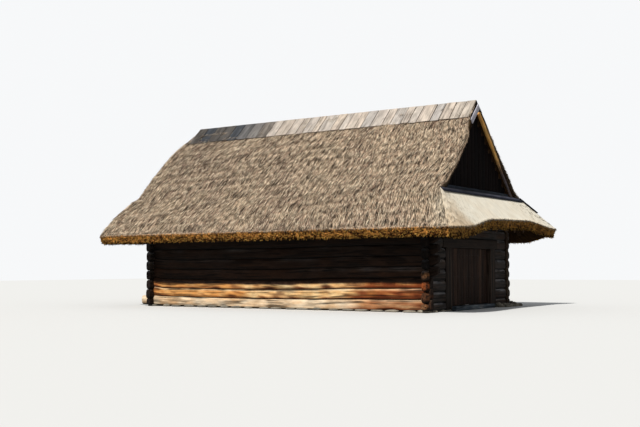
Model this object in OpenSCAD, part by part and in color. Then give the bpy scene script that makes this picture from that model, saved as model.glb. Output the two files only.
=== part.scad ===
// Thatched log granary. A rectangular house of hewn logs notched at the corners,
// under a steep thatched roof with a boarded ridge, a boarded gable and a thatched
// skirt at each end. A pair of plank doors on pivot posts stands in the right gable wall.
// The origin is on the ground at the middle of the plan: +X runs along the ridge to the
// door gable, -Y is the long front wall and +Z is up.

/* [Log walls] */
// Length of the building over the gable walls
wall_len = 12500; // [12000:50:13000]
// Width of the building over the long walls
wall_wid = 6800; // [6600:50:7000]
// Height of one log course
course_h = 370; // [360:1:375]
// Thickness of the hewn logs
log_t = 220; // [200:5:240]
// Height of the footing stones under the lowest logs
footing_h = 60; // [40:5:80]
// Height of the lowest gable log, which sets the step between the courses
gable_sill_h = 250; // [230:5:280]
// How far the gable logs run out past the long walls
gable_log_out = 240; // [150:10:300]
// How far the upper front logs run out past the door gable
corbel_out = 300; // [200:10:350]
// How far the front sill log runs out past the blind gable
sill_log_out = 450; // [250:10:500]

/* [Doorway] */
// Width of the opening between the jambs
door_w = 3400; // [3200:10:3500]
// Height of the underside of the lintel above the ground
door_head = 2190; // [2150:5:2200]
// Width of each door jamb
jamb_w = 450; // [400:10:500]
// Height of the threshold's top above the ground
threshold_top = 150; // [120:5:160]
// Depth of the door's face behind the wall's face
door_recess = 136; // [120:2:140]
// Thickness of the door planks
plank_t = 36; // [30:1:40]

/* [Roof] */
// Height of the thatch at the ridge
ridge_z = 7550; // [7400:10:7600]
// Rise of the front slope for each unit of run
front_rise = 0.98; // [0.96:0.005:1]
// Rise of the rear slope for each unit of run
rear_rise = 0.935; // [0.925:0.005:0.95]
// Distance from the ridge to the long eaves, in plan
eave_y = 4890; // [4850:10:4950]
// Thickness of the thatch, square to the slope
thatch_t = 348; // [340:2:390]
// Half length of the ridge
ridge_half = 6520; // [6480:10:6560]
// Height of the foot of the boarded gables
gable_foot_z = 4170; // [4100:10:4250]
// Distance of the verges from the middle of the plan at the gable's foot
verge_x = 6680; // [6650:10:6750]
// Distance of the skirt eaves from the middle of the plan
skirt_eave_x = 7780; // [7700:10:7850]
// How much higher the skirt's eave is trimmed over the doors
eave_lift = 300; // [0:10:380]
// Length of the ridge boards down each slope
ridge_board_len = 1060; // [800:10:1200]

/* [Hidden] */

half_l = wall_len / 2;
half_w = wall_wid / 2;
joint_gap = 4;            // open bed joint between two logs
long_courses = 9;         // log courses of each long wall, under its plate
gable_courses = 9;        // log courses of each gable wall
stub_courses = 7;         // gable courses cut by the doorway
corbel_from = 3;          // first front course that runs out past the door gable
end_flush = 40;           // how far a plain log end stands past the crossing log
log_chamfer = 45;         // rounding of the edges of the long walls' logs
round_chamfer = 70;       // the same on the rounder gable logs
long_top = footing_h + long_courses * course_h;
course_step = course_h - gable_sill_h;    // how far the gable courses lie below the long ones

batten_t = 40;
rafter_w = 120;
rafter_d = 140;
rafter_pairs = 11;
end_rafter_x = ridge_half - 160;
seat_cut = 55;            // depth of the rafters' seat on the plate
gable_board_t = 30;
gable_board_x = 6450;     // outer face of the gable boards
skirt_in_z = 3875;        // underside of the skirt's thatch at the gable boards
butt_in = 170;            // how far the thatch's cut end leans in under the eave
layer_gap = 3;            // slack between the thatch and its battens
seat_gap = 1;             // slack under the timbers laid on a plate and under the ridge boards
corner_rx = 300;          // rounding of the eave corners in plan
corner_ry = 360;
corner_y = eave_y - corner_ry;
corner_steps = 4;         // facets of each half corner
top_corner_w = 70;        // width that the rounded hip starts from at the gable's foot
lift_from = -3800;        // where the skirt's eave starts to rise over the doors
lift_full = -800;
lift_ends = 2600;
skirt_parts = 14;         // facets along a skirt
upper_rows = [0, 0.25, 0.5, 0.75, 0.88];    // the last keeps the verge's foot clear of the skirt
lower_rows = [0, 0.25, 0.5, 0.75, 1];

tail_short = 360;         // rafter tails stay this far behind the thatch's cut end
skirt_tail = 390;
batten_w = 60;
first_batten = 250;
long_batten_rows = 10;
skirt_batten_rows = 3;
tie_beam_x = [-5724, -3180, -636, 636, 3180, 5724];
tie_w = 180;
tie_h = 160;
collar_z = 5300;
collar_h = 140;
collar_t = 50;
hip_w = 100;
hip_d = 150;
hip_sink = 75;            // depth of a hip rafter's top under the thatch
hip_from = 0.04;          // where a hip rafter starts and ends, from the gable's foot to the eave
hip_to = 0.75;
skirt_rafter_d = 110;
skirt_rafter_y = 2600;
skirt_pairs = 6;
skirt_beam_half = 3000;
ridge_board_t = 30;
base_board_t = 30;
base_board_top = gable_foot_z + 160;
skirt_plank_w = 170;
skirt_plank_t = 30;
plank_lean = 47;          // pitch of the plank on the skirt

jamb_out = door_w / 2 + jamb_w;
lintel_half = jamb_out + 200;
jamb_proud = 10;
threshold_in = 20;
threshold_out = 170;
post_r = 45;              // pivot post of a door leaf
pin_r = 18;
pin_play = 5;
pin_l = 40;
socket_deep = 60;
post_behind = 7;          // how far the post's axis lies before the back of the planks
post_gap = 10;            // gap between the post and the jamb
pivot_x = half_l - door_recess - plank_t + post_behind;
pivot_y = door_w / 2 - post_r - post_gap;
meeting_gap = 12;
leaf_gap_low = 15;
leaf_gap_high = 10;
ledge_t = 40;
ledge_w = 110;
ledge_short = 40;
ledge_levels = [400, 1120, 1880];

long_stones = 10;
stone_in = 200;
stone_len = 420;
stone_len_spread = 60;
stone_depth = 320;
gable_stone_len = 400;
gable_stone_y = [-2650, 2650];
jamb_stone_len = 380;
stone_sides = 9;
stone_unevenness = 0.06;

// Vertical thickness that a layer of thickness t has on a slope of the given rise
function upright(t, rise) = t * sqrt(1 + rise * rise);

// Heights on a long slope at a distance y from the ridge: the thatch's outer and inner faces,
// the undersides of the battens and rafters, and the top of the wall plate
function top_z(rise, y) = ridge_z - rise * y;
function soffit_z(rise, y) = top_z(rise, y) - upright(thatch_t, rise);
function batten_z(rise, y) = soffit_z(rise, y) - upright(layer_gap + batten_t, rise);
function rafter_z(rise, y) = batten_z(rise, y) - upright(rafter_d, rise);
function plate_z(rise) = rafter_z(rise, half_w) + seat_cut;

// The two long slopes: side is -1 at the front and 1 at the rear
function rise_of(side) = side < 0 ? front_rise : rear_rise;
function foot_y(side) = (ridge_z - gable_foot_z) / rise_of(side);
function foot_in_y(side) = (soffit_z(rise_of(side), 0) - skirt_in_z) / rise_of(side);

// Upper or lower edge of the thatch's cut end, along a long eave and along a skirt's eave
function long_edge_z(side, inner) =
    inner ? soffit_z(rise_of(side), eave_y - butt_in) : top_z(rise_of(side), eave_y);
function skirt_edge_z(y, inner) =
    mix(long_edge_z(-1, inner), long_edge_z(1, inner), (y + eave_y) / (2 * eave_y));

// Heights on a skirt's underside. Its lines spread from the gable's foot to the eave, between the
// limits that skirt_y gives, and it twists a little because the rear eave is higher.
skirt_run = skirt_eave_x - butt_in - gable_board_x;
function skirt_y(side, x) =
    side * mix(foot_in_y(side) - top_corner_w, corner_y, (x - gable_board_x) / skirt_run);
function skirt_rise(x, y) =
    let (share = (y - skirt_y(-1, x)) / (skirt_y(1, x) - skirt_y(-1, x)))
    (skirt_in_z - skirt_edge_z(mix(-corner_y, corner_y, share), true)) / skirt_run;
function skirt_batten_z(x, y) =
    let (rise = skirt_rise(x, y))
    skirt_in_z - rise * (x - gable_board_x) - upright(layer_gap + batten_t, rise);
function skirt_rafter_z(x, y) =
    skirt_batten_z(x, y) - upright(layer_gap + skirt_rafter_d, skirt_rise(x, y));

// Smooth step from 0 at a to 1 at b
function ease(a, b, t) = let (s = min(1, max(0, (t - a) / (b - a)))) s * s * (3 - 2 * s);
function mix(a, b, t) = a + (b - a) * t;

// A log lying along X from x0 to x1, with one face on y = 0 and the other on y = log_t
module log_along_x(x0, x1, z0, h, chamfer) {
    translate([x0, 0, z0])
        rotate([90, 0, 90])
            linear_extrude(x1 - x0)
                polygon([
                    [chamfer, 0], [log_t - chamfer, 0], [log_t, chamfer], [log_t, h - chamfer],
                    [log_t - chamfer, h], [chamfer, h], [0, h - chamfer], [0, chamfer],
                ]);
}

// What a corner notch takes from a log along X that keeps only the heights from low to high
module corner_notch(x0, low, high) {
    deep = course_h;
    translate([x0, -1, high])
        cube([log_t, log_t + 2, deep]);
    translate([x0, -1, low - deep])
        cube([log_t, log_t + 2, deep]);
}

// Bottom of a long wall's course and of a gable wall's course
function long_z(i) = footing_h + i * course_h;
function gable_z(j) = j == 0 ? footing_h : long_z(j) - course_step;

// Levels between which a log stays whole inside the corner
function long_low(i) = long_z(i) + (course_h - course_step) / 2;
function long_high(i) = i == long_courses - 1 ? long_z(i + 1) : long_z(i + 1) - course_step / 2;
function gable_low(j) = j == 0 ? footing_h : long_high(j - 1);
function gable_high(j) = long_low(j);

// Log i of a long wall, running out past the gables by out_left and out_right
module long_log(i, out_left, out_right) {
    difference() {
        log_along_x(-half_l - out_left, half_l + out_right, long_z(i), course_h - joint_gap, log_chamfer);
        corner_notch(half_l - log_t, long_low(i), long_high(i));
        corner_notch(-half_l, long_low(i), long_high(i));
    }
}

module front_log(i) {
    translate([0, -half_w, 0])
        long_log(i, i == 0 ? sill_log_out : end_flush, i < corbel_from ? end_flush : corbel_out);
}

module rear_log(i) {
    translate([0, half_w - log_t, 0])
        long_log(i, end_flush, end_flush);
}

// Log j of the door gable, from y0 to y1, notched where it crosses a long wall
module gable_log(j, y0, y1) {
    h = (j == 0 ? gable_sill_h : course_h) - joint_gap;
    translate([half_l, 0, 0])
        rotate(90)
            difference() {
                log_along_x(y0, y1, gable_z(j), h, round_chamfer);
                corner_notch(-half_w, gable_low(j), gable_high(j));
                corner_notch(half_w - log_t, gable_low(j), gable_high(j));
            }
}

module full_gable_log(j) {
    gable_log(j, -half_w - gable_log_out, half_w + gable_log_out);
}

// Front wall: the pale sill log, the hewn courses over it and the plate that carries the rafters
module front_sill_log() {
    color("tan")
        front_log(0);
}

module front_odd_logs() {
    color("peru")
        for (i = [1 : 2 : long_courses - 1])
            front_log(i);
}

module front_even_logs() {
    color("sienna")
        for (i = [2 : 2 : long_courses - 1])
            front_log(i);
}

module plate_box(rise) {
    translate([-end_rafter_x - rafter_w / 2, 0, long_top])
        cube([2 * end_rafter_x + rafter_w, log_t, plate_z(rise) - seat_gap - long_top]);
}

module front_wall_plate() {
    color("saddlebrown")
        translate([0, -half_w, 0])
            plate_box(front_rise);
}

// Rear wall, the same as the front with plain ends
module rear_sill_log() {
    color("tan")
        rear_log(0);
}

module rear_odd_logs() {
    color("peru")
        for (i = [1 : 2 : long_courses - 1])
            rear_log(i);
}

module rear_even_logs() {
    color("sienna")
        for (i = [2 : 2 : long_courses - 1])
            rear_log(i);
}

module rear_wall_plate() {
    color("saddlebrown")
        difference() {
            translate([0, half_w - log_t, 0])
                plate_box(rear_rise);
            tie_beam_boxes();
        }
}

// Blind gable wall on the left
module left_gable_odd_logs() {
    color("dimgray")
        mirror([1, 0, 0])
            for (j = [1 : 2 : gable_courses - 1])
                full_gable_log(j);
}

module left_gable_even_logs() {
    color("gray")
        mirror([1, 0, 0])
            for (j = [0 : 2 : gable_courses - 1])
                full_gable_log(j);
}

// Door gable wall: short logs on each side of the doorway and whole logs over it
module door_wall_front_stub() {
    color("dimgray")
        for (j = [0 : stub_courses - 1])
            gable_log(j, -half_w - gable_log_out, j == stub_courses - 1 ? -lintel_half : -jamb_out);
}

module door_wall_rear_stub() {
    color("dimgray")
        for (j = [0 : stub_courses - 1])
            gable_log(j, j == stub_courses - 1 ? lintel_half : jamb_out, half_w + gable_log_out);
}

module door_wall_upper_logs() {
    color("brown")
        for (j = [stub_courses : gable_courses - 1])
            full_gable_log(j);
}

// Two logs between the long walls, over a gable wall: the upper one carries the skirt's rafters
module gable_top_logs() {
    low = gable_z(gable_courses);
    split = low + course_h;
    top = skirt_rafter_z(half_l, 0) + seat_cut;
    inside = half_w - log_t;
    translate([half_l - log_t, -inside, low])
        cube([log_t, 2 * inside, course_h - joint_gap]);
    translate([half_l - log_t, -skirt_beam_half, split])
        cube([log_t, 2 * skirt_beam_half, top - split]);
}

module left_gable_top_logs() {
    color("sienna")
        mirror([1, 0, 0])
            gable_top_logs();
}

module right_gable_top_logs() {
    color("sienna")
        gable_top_logs();
}

// Doorway: a threshold slab, two broad jambs and a lintel with the upper pivot sockets
module pivot_sockets(z0) {
    for (side = [-1, 1])
        translate([pivot_x, side * pivot_y, z0])
            cylinder(h = socket_deep, r = pin_r + pin_play, $fn = 48);
}

module door_threshold() {
    color("slategray")
        difference() {
            translate([half_l - log_t - threshold_in, -door_w / 2, 0])
                cube([log_t + threshold_in + threshold_out, door_w, threshold_top]);
            translate([0, 0, threshold_top - socket_deep + 1])
                pivot_sockets(0);
        }
}

module door_jamb() {
    translate([half_l - log_t, door_w / 2, footing_h])
        cube([log_t + jamb_proud, jamb_w, door_head - footing_h]);
}

module left_door_jamb() {
    color("rosybrown")
        mirror([0, 1, 0])
            door_jamb();
}

module right_door_jamb() {
    color("rosybrown")
        door_jamb();
}

module door_lintel() {
    color("rosybrown")
        difference() {
            translate([half_l - log_t, -lintel_half, door_head])
                cube([log_t + jamb_proud, 2 * lintel_half, gable_z(stub_courses) - joint_gap - door_head]);
            translate([0, 0, door_head - 1])
                pivot_sockets(0);
        }
}

// One door leaf at its pivot axis: planks and ledges fixed to a round post with a pin at each end
module door_leaf() {
    face = half_l - door_recess - pivot_x;
    low = threshold_top + leaf_gap_low;
    high = door_head - leaf_gap_high;
    width = pivot_y - meeting_gap / 2;
    union() {
        translate([0, 0, low])
            cylinder(h = high - low, r = post_r, $fn = 64);
        translate([0, 0, low - pin_l])
            cylinder(h = high - low + 2 * pin_l, r = pin_r, $fn = 48);
        translate([face - plank_t, 0, low])
            cube([plank_t, width, high - low]);
        for (z = ledge_levels)
            translate([face - plank_t - ledge_t, 0, z])
                cube([ledge_t, width - ledge_short, ledge_w]);
    }
}

module left_door_leaf() {
    color("maroon")
        translate([pivot_x, -pivot_y, 0])
            door_leaf();
}

module right_door_leaf() {
    color("maroon")
        translate([pivot_x, pivot_y, 0])
            mirror([0, 1, 0])
                door_leaf();
}

// Field stones that the sill logs and jambs rest on. One stone is a many-sided flat lump.
module field_stone(x, y, length, depth, turn) {
    translate([x, y, 0])
        rotate(turn)
            linear_extrude(footing_h)
                polygon([
                    for (i = [0 : stone_sides - 1])
                        let (a = 360 * i / stone_sides, r = 0.5 + stone_unevenness * sin(137 * (i + turn)))
                        [length * r * cos(a), depth * r * sin(a)]
                ]);
}

module footing_stones() {
    long_row = half_w - log_t / 2;
    gable_row = half_l - log_t / 2;
    color("darkgray") {
        for (side = [-1, 1], i = [0 : long_stones])
            field_stone(mix(-half_l + stone_in, half_l - stone_in, i / long_stones), side * long_row,
                stone_len + stone_len_spread * sin(80 * i), stone_depth, 5 * sin(50 * i));
        for (side = [-1, 1], y = gable_stone_y)
            field_stone(side * gable_row, y, stone_depth, gable_stone_len, 4 * sin(y));
        for (side = [-1, 1])
            field_stone(gable_row, side * (door_w + jamb_w) / 2, stone_depth, jamb_stone_len, 7 * side);
    }
}

// Tie beams laid over the front plate and let into the rear one
module tie_beam_boxes() {
    for (x = tie_beam_x)
        translate([x - tie_w / 2, -half_w, plate_z(front_rise)])
            cube([tie_w, wall_wid, tie_h]);
}

module tie_beams() {
    color("saddlebrown")
        intersection() {
            tie_beam_boxes();
            attic_block(0);
        }
}

// Everything under the rafters' upper faces, lowered by the given depth
module attic_block(lower) {
    reach = half_w + gable_log_out;
    long = ridge_half * 2;
    translate([-long / 2, 0, 0])
        rotate([90, 0, 90])
            linear_extrude(long)
                polygon([
                    [-reach, 0], [reach, 0], [reach, batten_z(rear_rise, reach) - lower],
                    [0, batten_z(front_rise, 0) - lower], [-reach, batten_z(front_rise, reach) - lower],
                ]);
}

// Rafter pairs over the plates, each with a seat cut and a tail under the eave
module rafter_row(rise) {
    tail_y = eave_y - butt_in - tail_short;
    for (n = [0 : rafter_pairs - 1])
        translate([mix(-end_rafter_x, end_rafter_x, n / (rafter_pairs - 1)) - rafter_w / 2, 0, 0])
            rotate([90, 0, 90])
                linear_extrude(rafter_w)
                    difference() {
                        polygon([
                            [0, batten_z(rise, 0)], [tail_y, batten_z(rise, tail_y)],
                            [tail_y, rafter_z(rise, tail_y)], [0, rafter_z(rise, 0)],
                        ]);
                        translate([half_w - log_t, 0])
                            square([log_t, plate_z(rise)]);
                    }
}

module front_rafters() {
    color("burlywood")
        mirror([0, 1, 0])
            rafter_row(front_rise);
}

module rear_rafters() {
    color("burlywood")
        rafter_row(rear_rise);
}

// Collar ties nailed to the side of each inner rafter pair
module collar_ties() {
    color("burlywood")
        intersection() {
            for (n = [1 : rafter_pairs - 2])
                translate([mix(-end_rafter_x, end_rafter_x, n / (rafter_pairs - 1)) + rafter_w / 2,
                    -half_w, collar_z])
                    cube([collar_t, wall_wid, collar_h]);
            attic_block(collar_t);
        }
}

// Hip rafter under the rounded corner of the thatch, from the plate's end towards the eave
module hip_rafter(side) {
    head = [gable_board_x, foot_in_y(side), skirt_in_z];
    eave = eave_corner(1, side, 0.5, true);
    foot = [eave[0], abs(eave[1]), eave[2]];
    a = mix(head, foot, hip_from) - [0, 0, hip_sink];
    b = mix(head, foot, hip_to) - [0, 0, hip_sink];
    d = b - a;
    run = norm([d[0], d[1]]);
    plate_end = end_rafter_x + rafter_w / 2;
    difference() {
        translate(a)
            rotate([0, 0, atan2(d[1], d[0])])
                rotate([0, atan2(-d[2], run), 0])
                    translate([0, -hip_w / 2, -hip_d])
                        cube([norm(d), hip_w, hip_d]);
        cube([plate_end, half_w * 2, ridge_z]);
    }
}

module hip_rafters() {
    color("burlywood")
        for (side = [0, 1])
            mirror([side, 0, 0]) {
                hip_rafter(1);
                mirror([0, 1, 0])
                    hip_rafter(-1);
            }
}

// Short rafters of a skirt, seated on the upper gable log
module skirt_rafters() {
    tail = skirt_eave_x - butt_in - skirt_tail;
    back = half_l - log_t;
    for (n = [0 : skirt_pairs])
        let (y = mix(-skirt_rafter_y, skirt_rafter_y, n / skirt_pairs))
        translate([0, y + rafter_w / 2, 0])
            rotate([90, 0, 0])
                linear_extrude(rafter_w)
                    difference() {
                        polygon([
                            [back, skirt_batten_z(back, y) - 3 * layer_gap],
                            [tail, skirt_batten_z(tail, y) - 3 * layer_gap],
                            [tail, skirt_rafter_z(tail, y)], [back, skirt_rafter_z(back, y)],
                        ]);
                        translate([back - 1, 0])
                            square([log_t + 1, skirt_rafter_z(half_l, 0) + seat_cut]);
                    }
}

module left_skirt_rafters() {
    color("burlywood")
        mirror([1, 0, 0])
            skirt_rafters();
}

module right_skirt_rafters() {
    color("burlywood")
        skirt_rafters();
}

// Battens that the thatch is tied to, on the rafters of a long slope
module long_battens(rise) {
    last = eave_y - butt_in - tail_short - batten_w;
    foot = (soffit_z(rise, 0) - skirt_in_z) / rise;
    for (n = [0 : long_batten_rows])
        let (
            y = mix(first_batten, last, n / long_batten_rows),
            z = batten_z(rise, y),
            down = max(0, (y - foot) / (eave_y - butt_in - foot)),
            reach = mix(gable_board_x - top_corner_w, skirt_eave_x - corner_rx, down)
        )
        translate([-reach, y, z])
            rotate([-atan(rise), 0, 0])
                cube([2 * reach, batten_w, batten_t]);
}

module front_battens() {
    color("wheat")
        mirror([0, 1, 0])
            long_battens(front_rise);
}

module rear_battens() {
    color("wheat")
        long_battens(rear_rise);
}

module skirt_battens() {
    last = skirt_eave_x - butt_in - skirt_tail - batten_w;
    for (n = [1 : skirt_batten_rows])
        let (
            x = mix(gable_board_x, last, n / skirt_batten_rows),
            front = skirt_y(-1, x),
            length = skirt_y(1, x) - front,
            z = skirt_batten_z(x, front),
            climb = skirt_batten_z(x, front + length) - z
        )
        translate([x, front, z])
            rotate([atan(climb / length), 0, 0])
                rotate([0, atan(skirt_rise(x, 0)), 0])
                    cube([batten_w, length, batten_t]);
}

module left_skirt_battens() {
    color("wheat")
        mirror([1, 0, 0])
            skirt_battens();
}

module right_skirt_battens() {
    color("wheat")
        skirt_battens();
}

// A closed shell between an outer and an inner sheet, each a list of rows of points.
// The rows run down the slope and the columns run to the right as seen from outside.
module shell(outer, inner) {
    nr = len(outer);
    nc = len(outer[0]);
    n = nr * nc;
    points = [for (sheet = [outer, inner], row = sheet, p = row) p];
    sheets = [
        for (r = [0 : nr - 2], c = [0 : nc - 2])
            let (a = r * nc + c, b = a + 1, d = a + nc, e = d + 1)
            each [[a, b, e], [a, e, d], [n + a, n + e, n + b], [n + a, n + d, n + e]]
    ];
    ends = [
        for (c = [0 : nc - 2])
            let (a = c, b = c + 1, d = (nr - 1) * nc + c, e = d + 1)
            each [[b, a, n + a], [b, n + a, n + b], [d, e, n + e], [d, n + e, n + d]]
    ];
    sides = [
        for (r = [0 : nr - 2])
            let (a = r * nc, d = a + nc, b = a + nc - 1, e = b + nc)
            each [[a, d, n + d], [a, n + d, n + a], [e, b, n + e], [b, n + b, n + e]]
    ];
    polyhedron(points = points, faces = concat(sheets, ends, sides), convexity = 6);
}

// Share of a skirt's depth that is left at y. The one at the door gable is trimmed over the doors.
function skirt_share(end, y) =
    let (lift = eave_lift * ease(lift_from, lift_full, y) * (1 - ease(lift_ends, corner_y, y)))
    end < 0 ? 1 : 1 - lift / (gable_foot_z - skirt_edge_z(y, false));

// A point of the eave's rounded corner. turn is 0 on the long side and 1 on the skirt's side.
function eave_corner(end, side, turn, inner) =
    let (a = 90 * turn, inset = inner ? butt_in : 0)
    [
        end * (skirt_eave_x - corner_rx + (corner_rx - inset) * sin(a)),
        side * (corner_y + (corner_ry - inset) * cos(a)),
        mix(long_edge_z(side, inner), skirt_edge_z(side * corner_y, inner), turn * turn),
    ];

// One corner column of a long slope: k runs from 0 at the slope's straight part to 1 at the hip
function slope_column(end, side, k, inner) =
    let (
        back = top_corner_w * (1 - k),
        rise = rise_of(side),
        foot = inner
            ? [end * (gable_board_x - back), side * foot_in_y(side), skirt_in_z]
            : [end * (verge_x - back), side * foot_y(side), gable_foot_z],
        eave = eave_corner(end, side, k / 2, inner)
    )
    concat(
        [
            for (u = upper_rows)
                let (y = u * abs(foot[1]))
                [
                    end * (mix(ridge_half, verge_x, u) - back),
                    side * y,
                    inner ? soffit_z(rise, y) : top_z(rise, y),
                ]
        ],
        [for (s = lower_rows) mix(foot, eave, s)]
    );

function transposed(columns) = [for (r = [0 : len(columns[0]) - 1]) [for (c = columns) c[r]]];

function slope_sheet(side, inner) =
    transposed(concat(
        [for (i = [corner_steps : -1 : 0]) slope_column(side, side, i / corner_steps, inner)],
        [for (i = [0 : corner_steps]) slope_column(-side, side, i / corner_steps, inner)]
    ));

module front_thatch() {
    color("tan")
        shell(slope_sheet(-1, false), slope_sheet(-1, true));
}

module rear_thatch() {
    color("tan")
        shell(slope_sheet(1, false), slope_sheet(1, true));
}

// A column of a skirt from its top edge down the given share of the way to its full eave
function skirt_column(end, top, eave, share, inner) =
    let (head = [end * (inner ? gable_board_x : verge_x), top, inner ? skirt_in_z : gable_foot_z])
    [for (s = lower_rows) mix(head, eave, s * share)];

function skirt_corner(end, side, k, inner) =
    skirt_column(end, side * ((inner ? foot_in_y(side) : foot_y(side)) - top_corner_w * k),
        eave_corner(end, side, (1 + k) / 2, inner), 1, inner);

function skirt_middle(end, v, inner) =
    let (
        t = (1 + end * v) / 2,
        tops = [for (side = [-1, 1]) side * ((inner ? foot_in_y(side) : foot_y(side)) - top_corner_w)],
        y = mix(-corner_y, corner_y, t)
    )
    skirt_column(end, mix(tops[0], tops[1], t),
        [end * (skirt_eave_x - (inner ? butt_in : 0)), y, skirt_edge_z(y, inner)],
        skirt_share(end, y), inner);

function skirt_sheet(end, inner) =
    transposed(concat(
        [for (i = [0 : corner_steps]) skirt_corner(end, -end, i / corner_steps, inner)],
        [for (i = [1 : skirt_parts - 1]) skirt_middle(end, 2 * i / skirt_parts - 1, inner)],
        [for (i = [corner_steps : -1 : 0]) skirt_corner(end, end, i / corner_steps, inner)]
    ));

module left_skirt_thatch() {
    color("wheat")
        shell(skirt_sheet(-1, false), skirt_sheet(-1, true));
}

module right_skirt_thatch() {
    color("wheat")
        shell(skirt_sheet(1, false), skirt_sheet(1, true));
}

// Boards laid over the ridge, down each slope
module ridge_boards(rise) {
    y = ridge_board_len / sqrt(1 + rise * rise);
    n = [rise, 1] / sqrt(1 + rise * rise) * ridge_board_t;
    translate([-ridge_half, 0, 0])
        rotate([90, 0, 90])
            linear_extrude(2 * ridge_half)
                polygon([
                    [0, ridge_z + upright(seat_gap, rise)], [y, top_z(rise, y) + upright(seat_gap, rise)],
                    [y + n[0], top_z(rise, y) + n[1]], [0, ridge_z + upright(ridge_board_t, rise)],
                ]);
}

module front_ridge_boards() {
    color("silver")
        mirror([0, 1, 0])
            ridge_boards(front_rise);
}

module rear_ridge_boards() {
    color("silver")
        ridge_boards(rear_rise);
}

// Dark upright boards closing the gable under the verges
module gable_boards() {
    low = skirt_in_z;
    play = 2 * layer_gap;
    translate([gable_board_x - gable_board_t, 0, 0])
        rotate([90, 0, 90])
            linear_extrude(gable_board_t)
                polygon([
                    [play - foot_in_y(-1), low], [foot_in_y(1) - play, low],
                    [0, soffit_z(front_rise, 0) - play],
                ]);
}

module left_gable_boards() {
    color("darkslategray")
        mirror([1, 0, 0])
            gable_boards();
}

module right_gable_boards() {
    color("darkslategray")
        gable_boards();
}

// Two weathered planks at the gable's foot: one on edge between the verges, one on the skirt
module skirt_planks() {
    front = (soffit_z(front_rise, 0) - base_board_top) / front_rise;
    rear = (soffit_z(rear_rise, 0) - base_board_top) / rear_rise;
    translate([gable_board_x, -front, gable_foot_z])
        cube([base_board_t, front + rear, base_board_top - gable_foot_z]);
    translate([verge_x, -foot_y(-1), gable_foot_z])
        rotate([0, plank_lean, 0])
            cube([skirt_plank_w, foot_y(-1) + foot_y(1), skirt_plank_t]);
}

module left_skirt_planks() {
    color("lightslategray")
        mirror([1, 0, 0])
            skirt_planks();
}

module right_skirt_planks() {
    color("lightslategray")
        skirt_planks();
}

footing_stones();
front_sill_log();
front_odd_logs();
front_even_logs();
front_wall_plate();
rear_sill_log();
rear_odd_logs();
rear_even_logs();
rear_wall_plate();
left_gable_odd_logs();
left_gable_even_logs();
door_wall_front_stub();
door_wall_rear_stub();
door_wall_upper_logs();
left_gable_top_logs();
right_gable_top_logs();
door_threshold();
left_door_jamb();
right_door_jamb();
door_lintel();
left_door_leaf();
right_door_leaf();
tie_beams();
front_rafters();
rear_rafters();
collar_ties();
hip_rafters();
left_skirt_rafters();
right_skirt_rafters();
front_battens();
rear_battens();
left_skirt_battens();
right_skirt_battens();
front_thatch();
rear_thatch();
left_skirt_thatch();
right_skirt_thatch();
front_ridge_boards();
rear_ridge_boards();
left_gable_boards();
right_gable_boards();
left_skirt_planks();
right_skirt_planks();
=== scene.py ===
import math

import bmesh
import bpy
import numpy as np
from mathutils import Matrix, Vector


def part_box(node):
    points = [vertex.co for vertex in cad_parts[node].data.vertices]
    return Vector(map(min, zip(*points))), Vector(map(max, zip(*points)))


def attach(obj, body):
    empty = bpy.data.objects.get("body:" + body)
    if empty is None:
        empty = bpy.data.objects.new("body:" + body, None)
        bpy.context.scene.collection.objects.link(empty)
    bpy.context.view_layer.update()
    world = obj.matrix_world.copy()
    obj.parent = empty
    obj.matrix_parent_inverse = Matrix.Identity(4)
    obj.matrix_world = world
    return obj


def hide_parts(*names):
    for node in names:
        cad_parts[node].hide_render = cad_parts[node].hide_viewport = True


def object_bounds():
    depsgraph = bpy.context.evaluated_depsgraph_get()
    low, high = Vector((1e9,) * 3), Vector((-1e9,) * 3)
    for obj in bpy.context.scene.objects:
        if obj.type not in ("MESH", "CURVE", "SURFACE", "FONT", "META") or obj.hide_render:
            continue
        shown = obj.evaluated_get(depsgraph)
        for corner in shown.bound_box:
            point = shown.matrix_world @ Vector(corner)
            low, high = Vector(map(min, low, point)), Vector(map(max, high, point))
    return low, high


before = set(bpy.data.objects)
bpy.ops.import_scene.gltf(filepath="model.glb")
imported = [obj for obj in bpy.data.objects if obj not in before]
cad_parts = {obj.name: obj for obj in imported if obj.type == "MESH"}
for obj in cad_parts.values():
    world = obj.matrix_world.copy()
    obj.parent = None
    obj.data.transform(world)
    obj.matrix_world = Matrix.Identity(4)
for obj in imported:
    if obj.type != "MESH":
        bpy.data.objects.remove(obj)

cad_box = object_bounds()


# The view: from the front and right, 33 degrees off square to the long wall, at eye height,
# 30 m off, looking slightly up.
eye = (20.437, -31.779, 1.5)
yaw, pitch, roll = math.radians(33.11), math.radians(3.28), math.radians(-0.18)
camera_data = bpy.data.cameras.new("view")
camera_data.sensor_width = 36.0
camera_data.lens = 53.457
camera_data.clip_end = 400.0
camera = bpy.data.objects.new("view", camera_data)
camera.matrix_world = (Matrix.Translation(eye) @ Matrix.Rotation(yaw, 4, "Z")
                       @ Matrix.Rotation(math.pi / 2 + pitch, 4, "X") @ Matrix.Rotation(roll, 4, "Z"))
bpy.context.scene.collection.objects.link(camera)
bpy.context.scene.camera = camera


# Footing stones: flat field stones laid dry under the sill logs and the door jambs, so that
# the wood stays off the soil. Smaller ones fill the foot of the gable beside the doorway.
STONE_GREY = (0.47, 0.45, 0.41)
STONE_PALE = (0.70, 0.66, 0.59)
stones_a_side, small_stones = 21, 46


def linear(colour):
    """Scene-linear value of a colour given as it looks on a screen: the usual power curve."""
    c = np.asarray(colour, float)
    return np.where(c <= 0.04045, c / 12.92, ((c + 0.055) / 1.055) ** 2.4)


def unit(vectors):
    """Vectors of length one: each divided by its own length."""
    return vectors / np.maximum(np.linalg.norm(vectors, axis=-1, keepdims=True), 1e-9)


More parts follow.
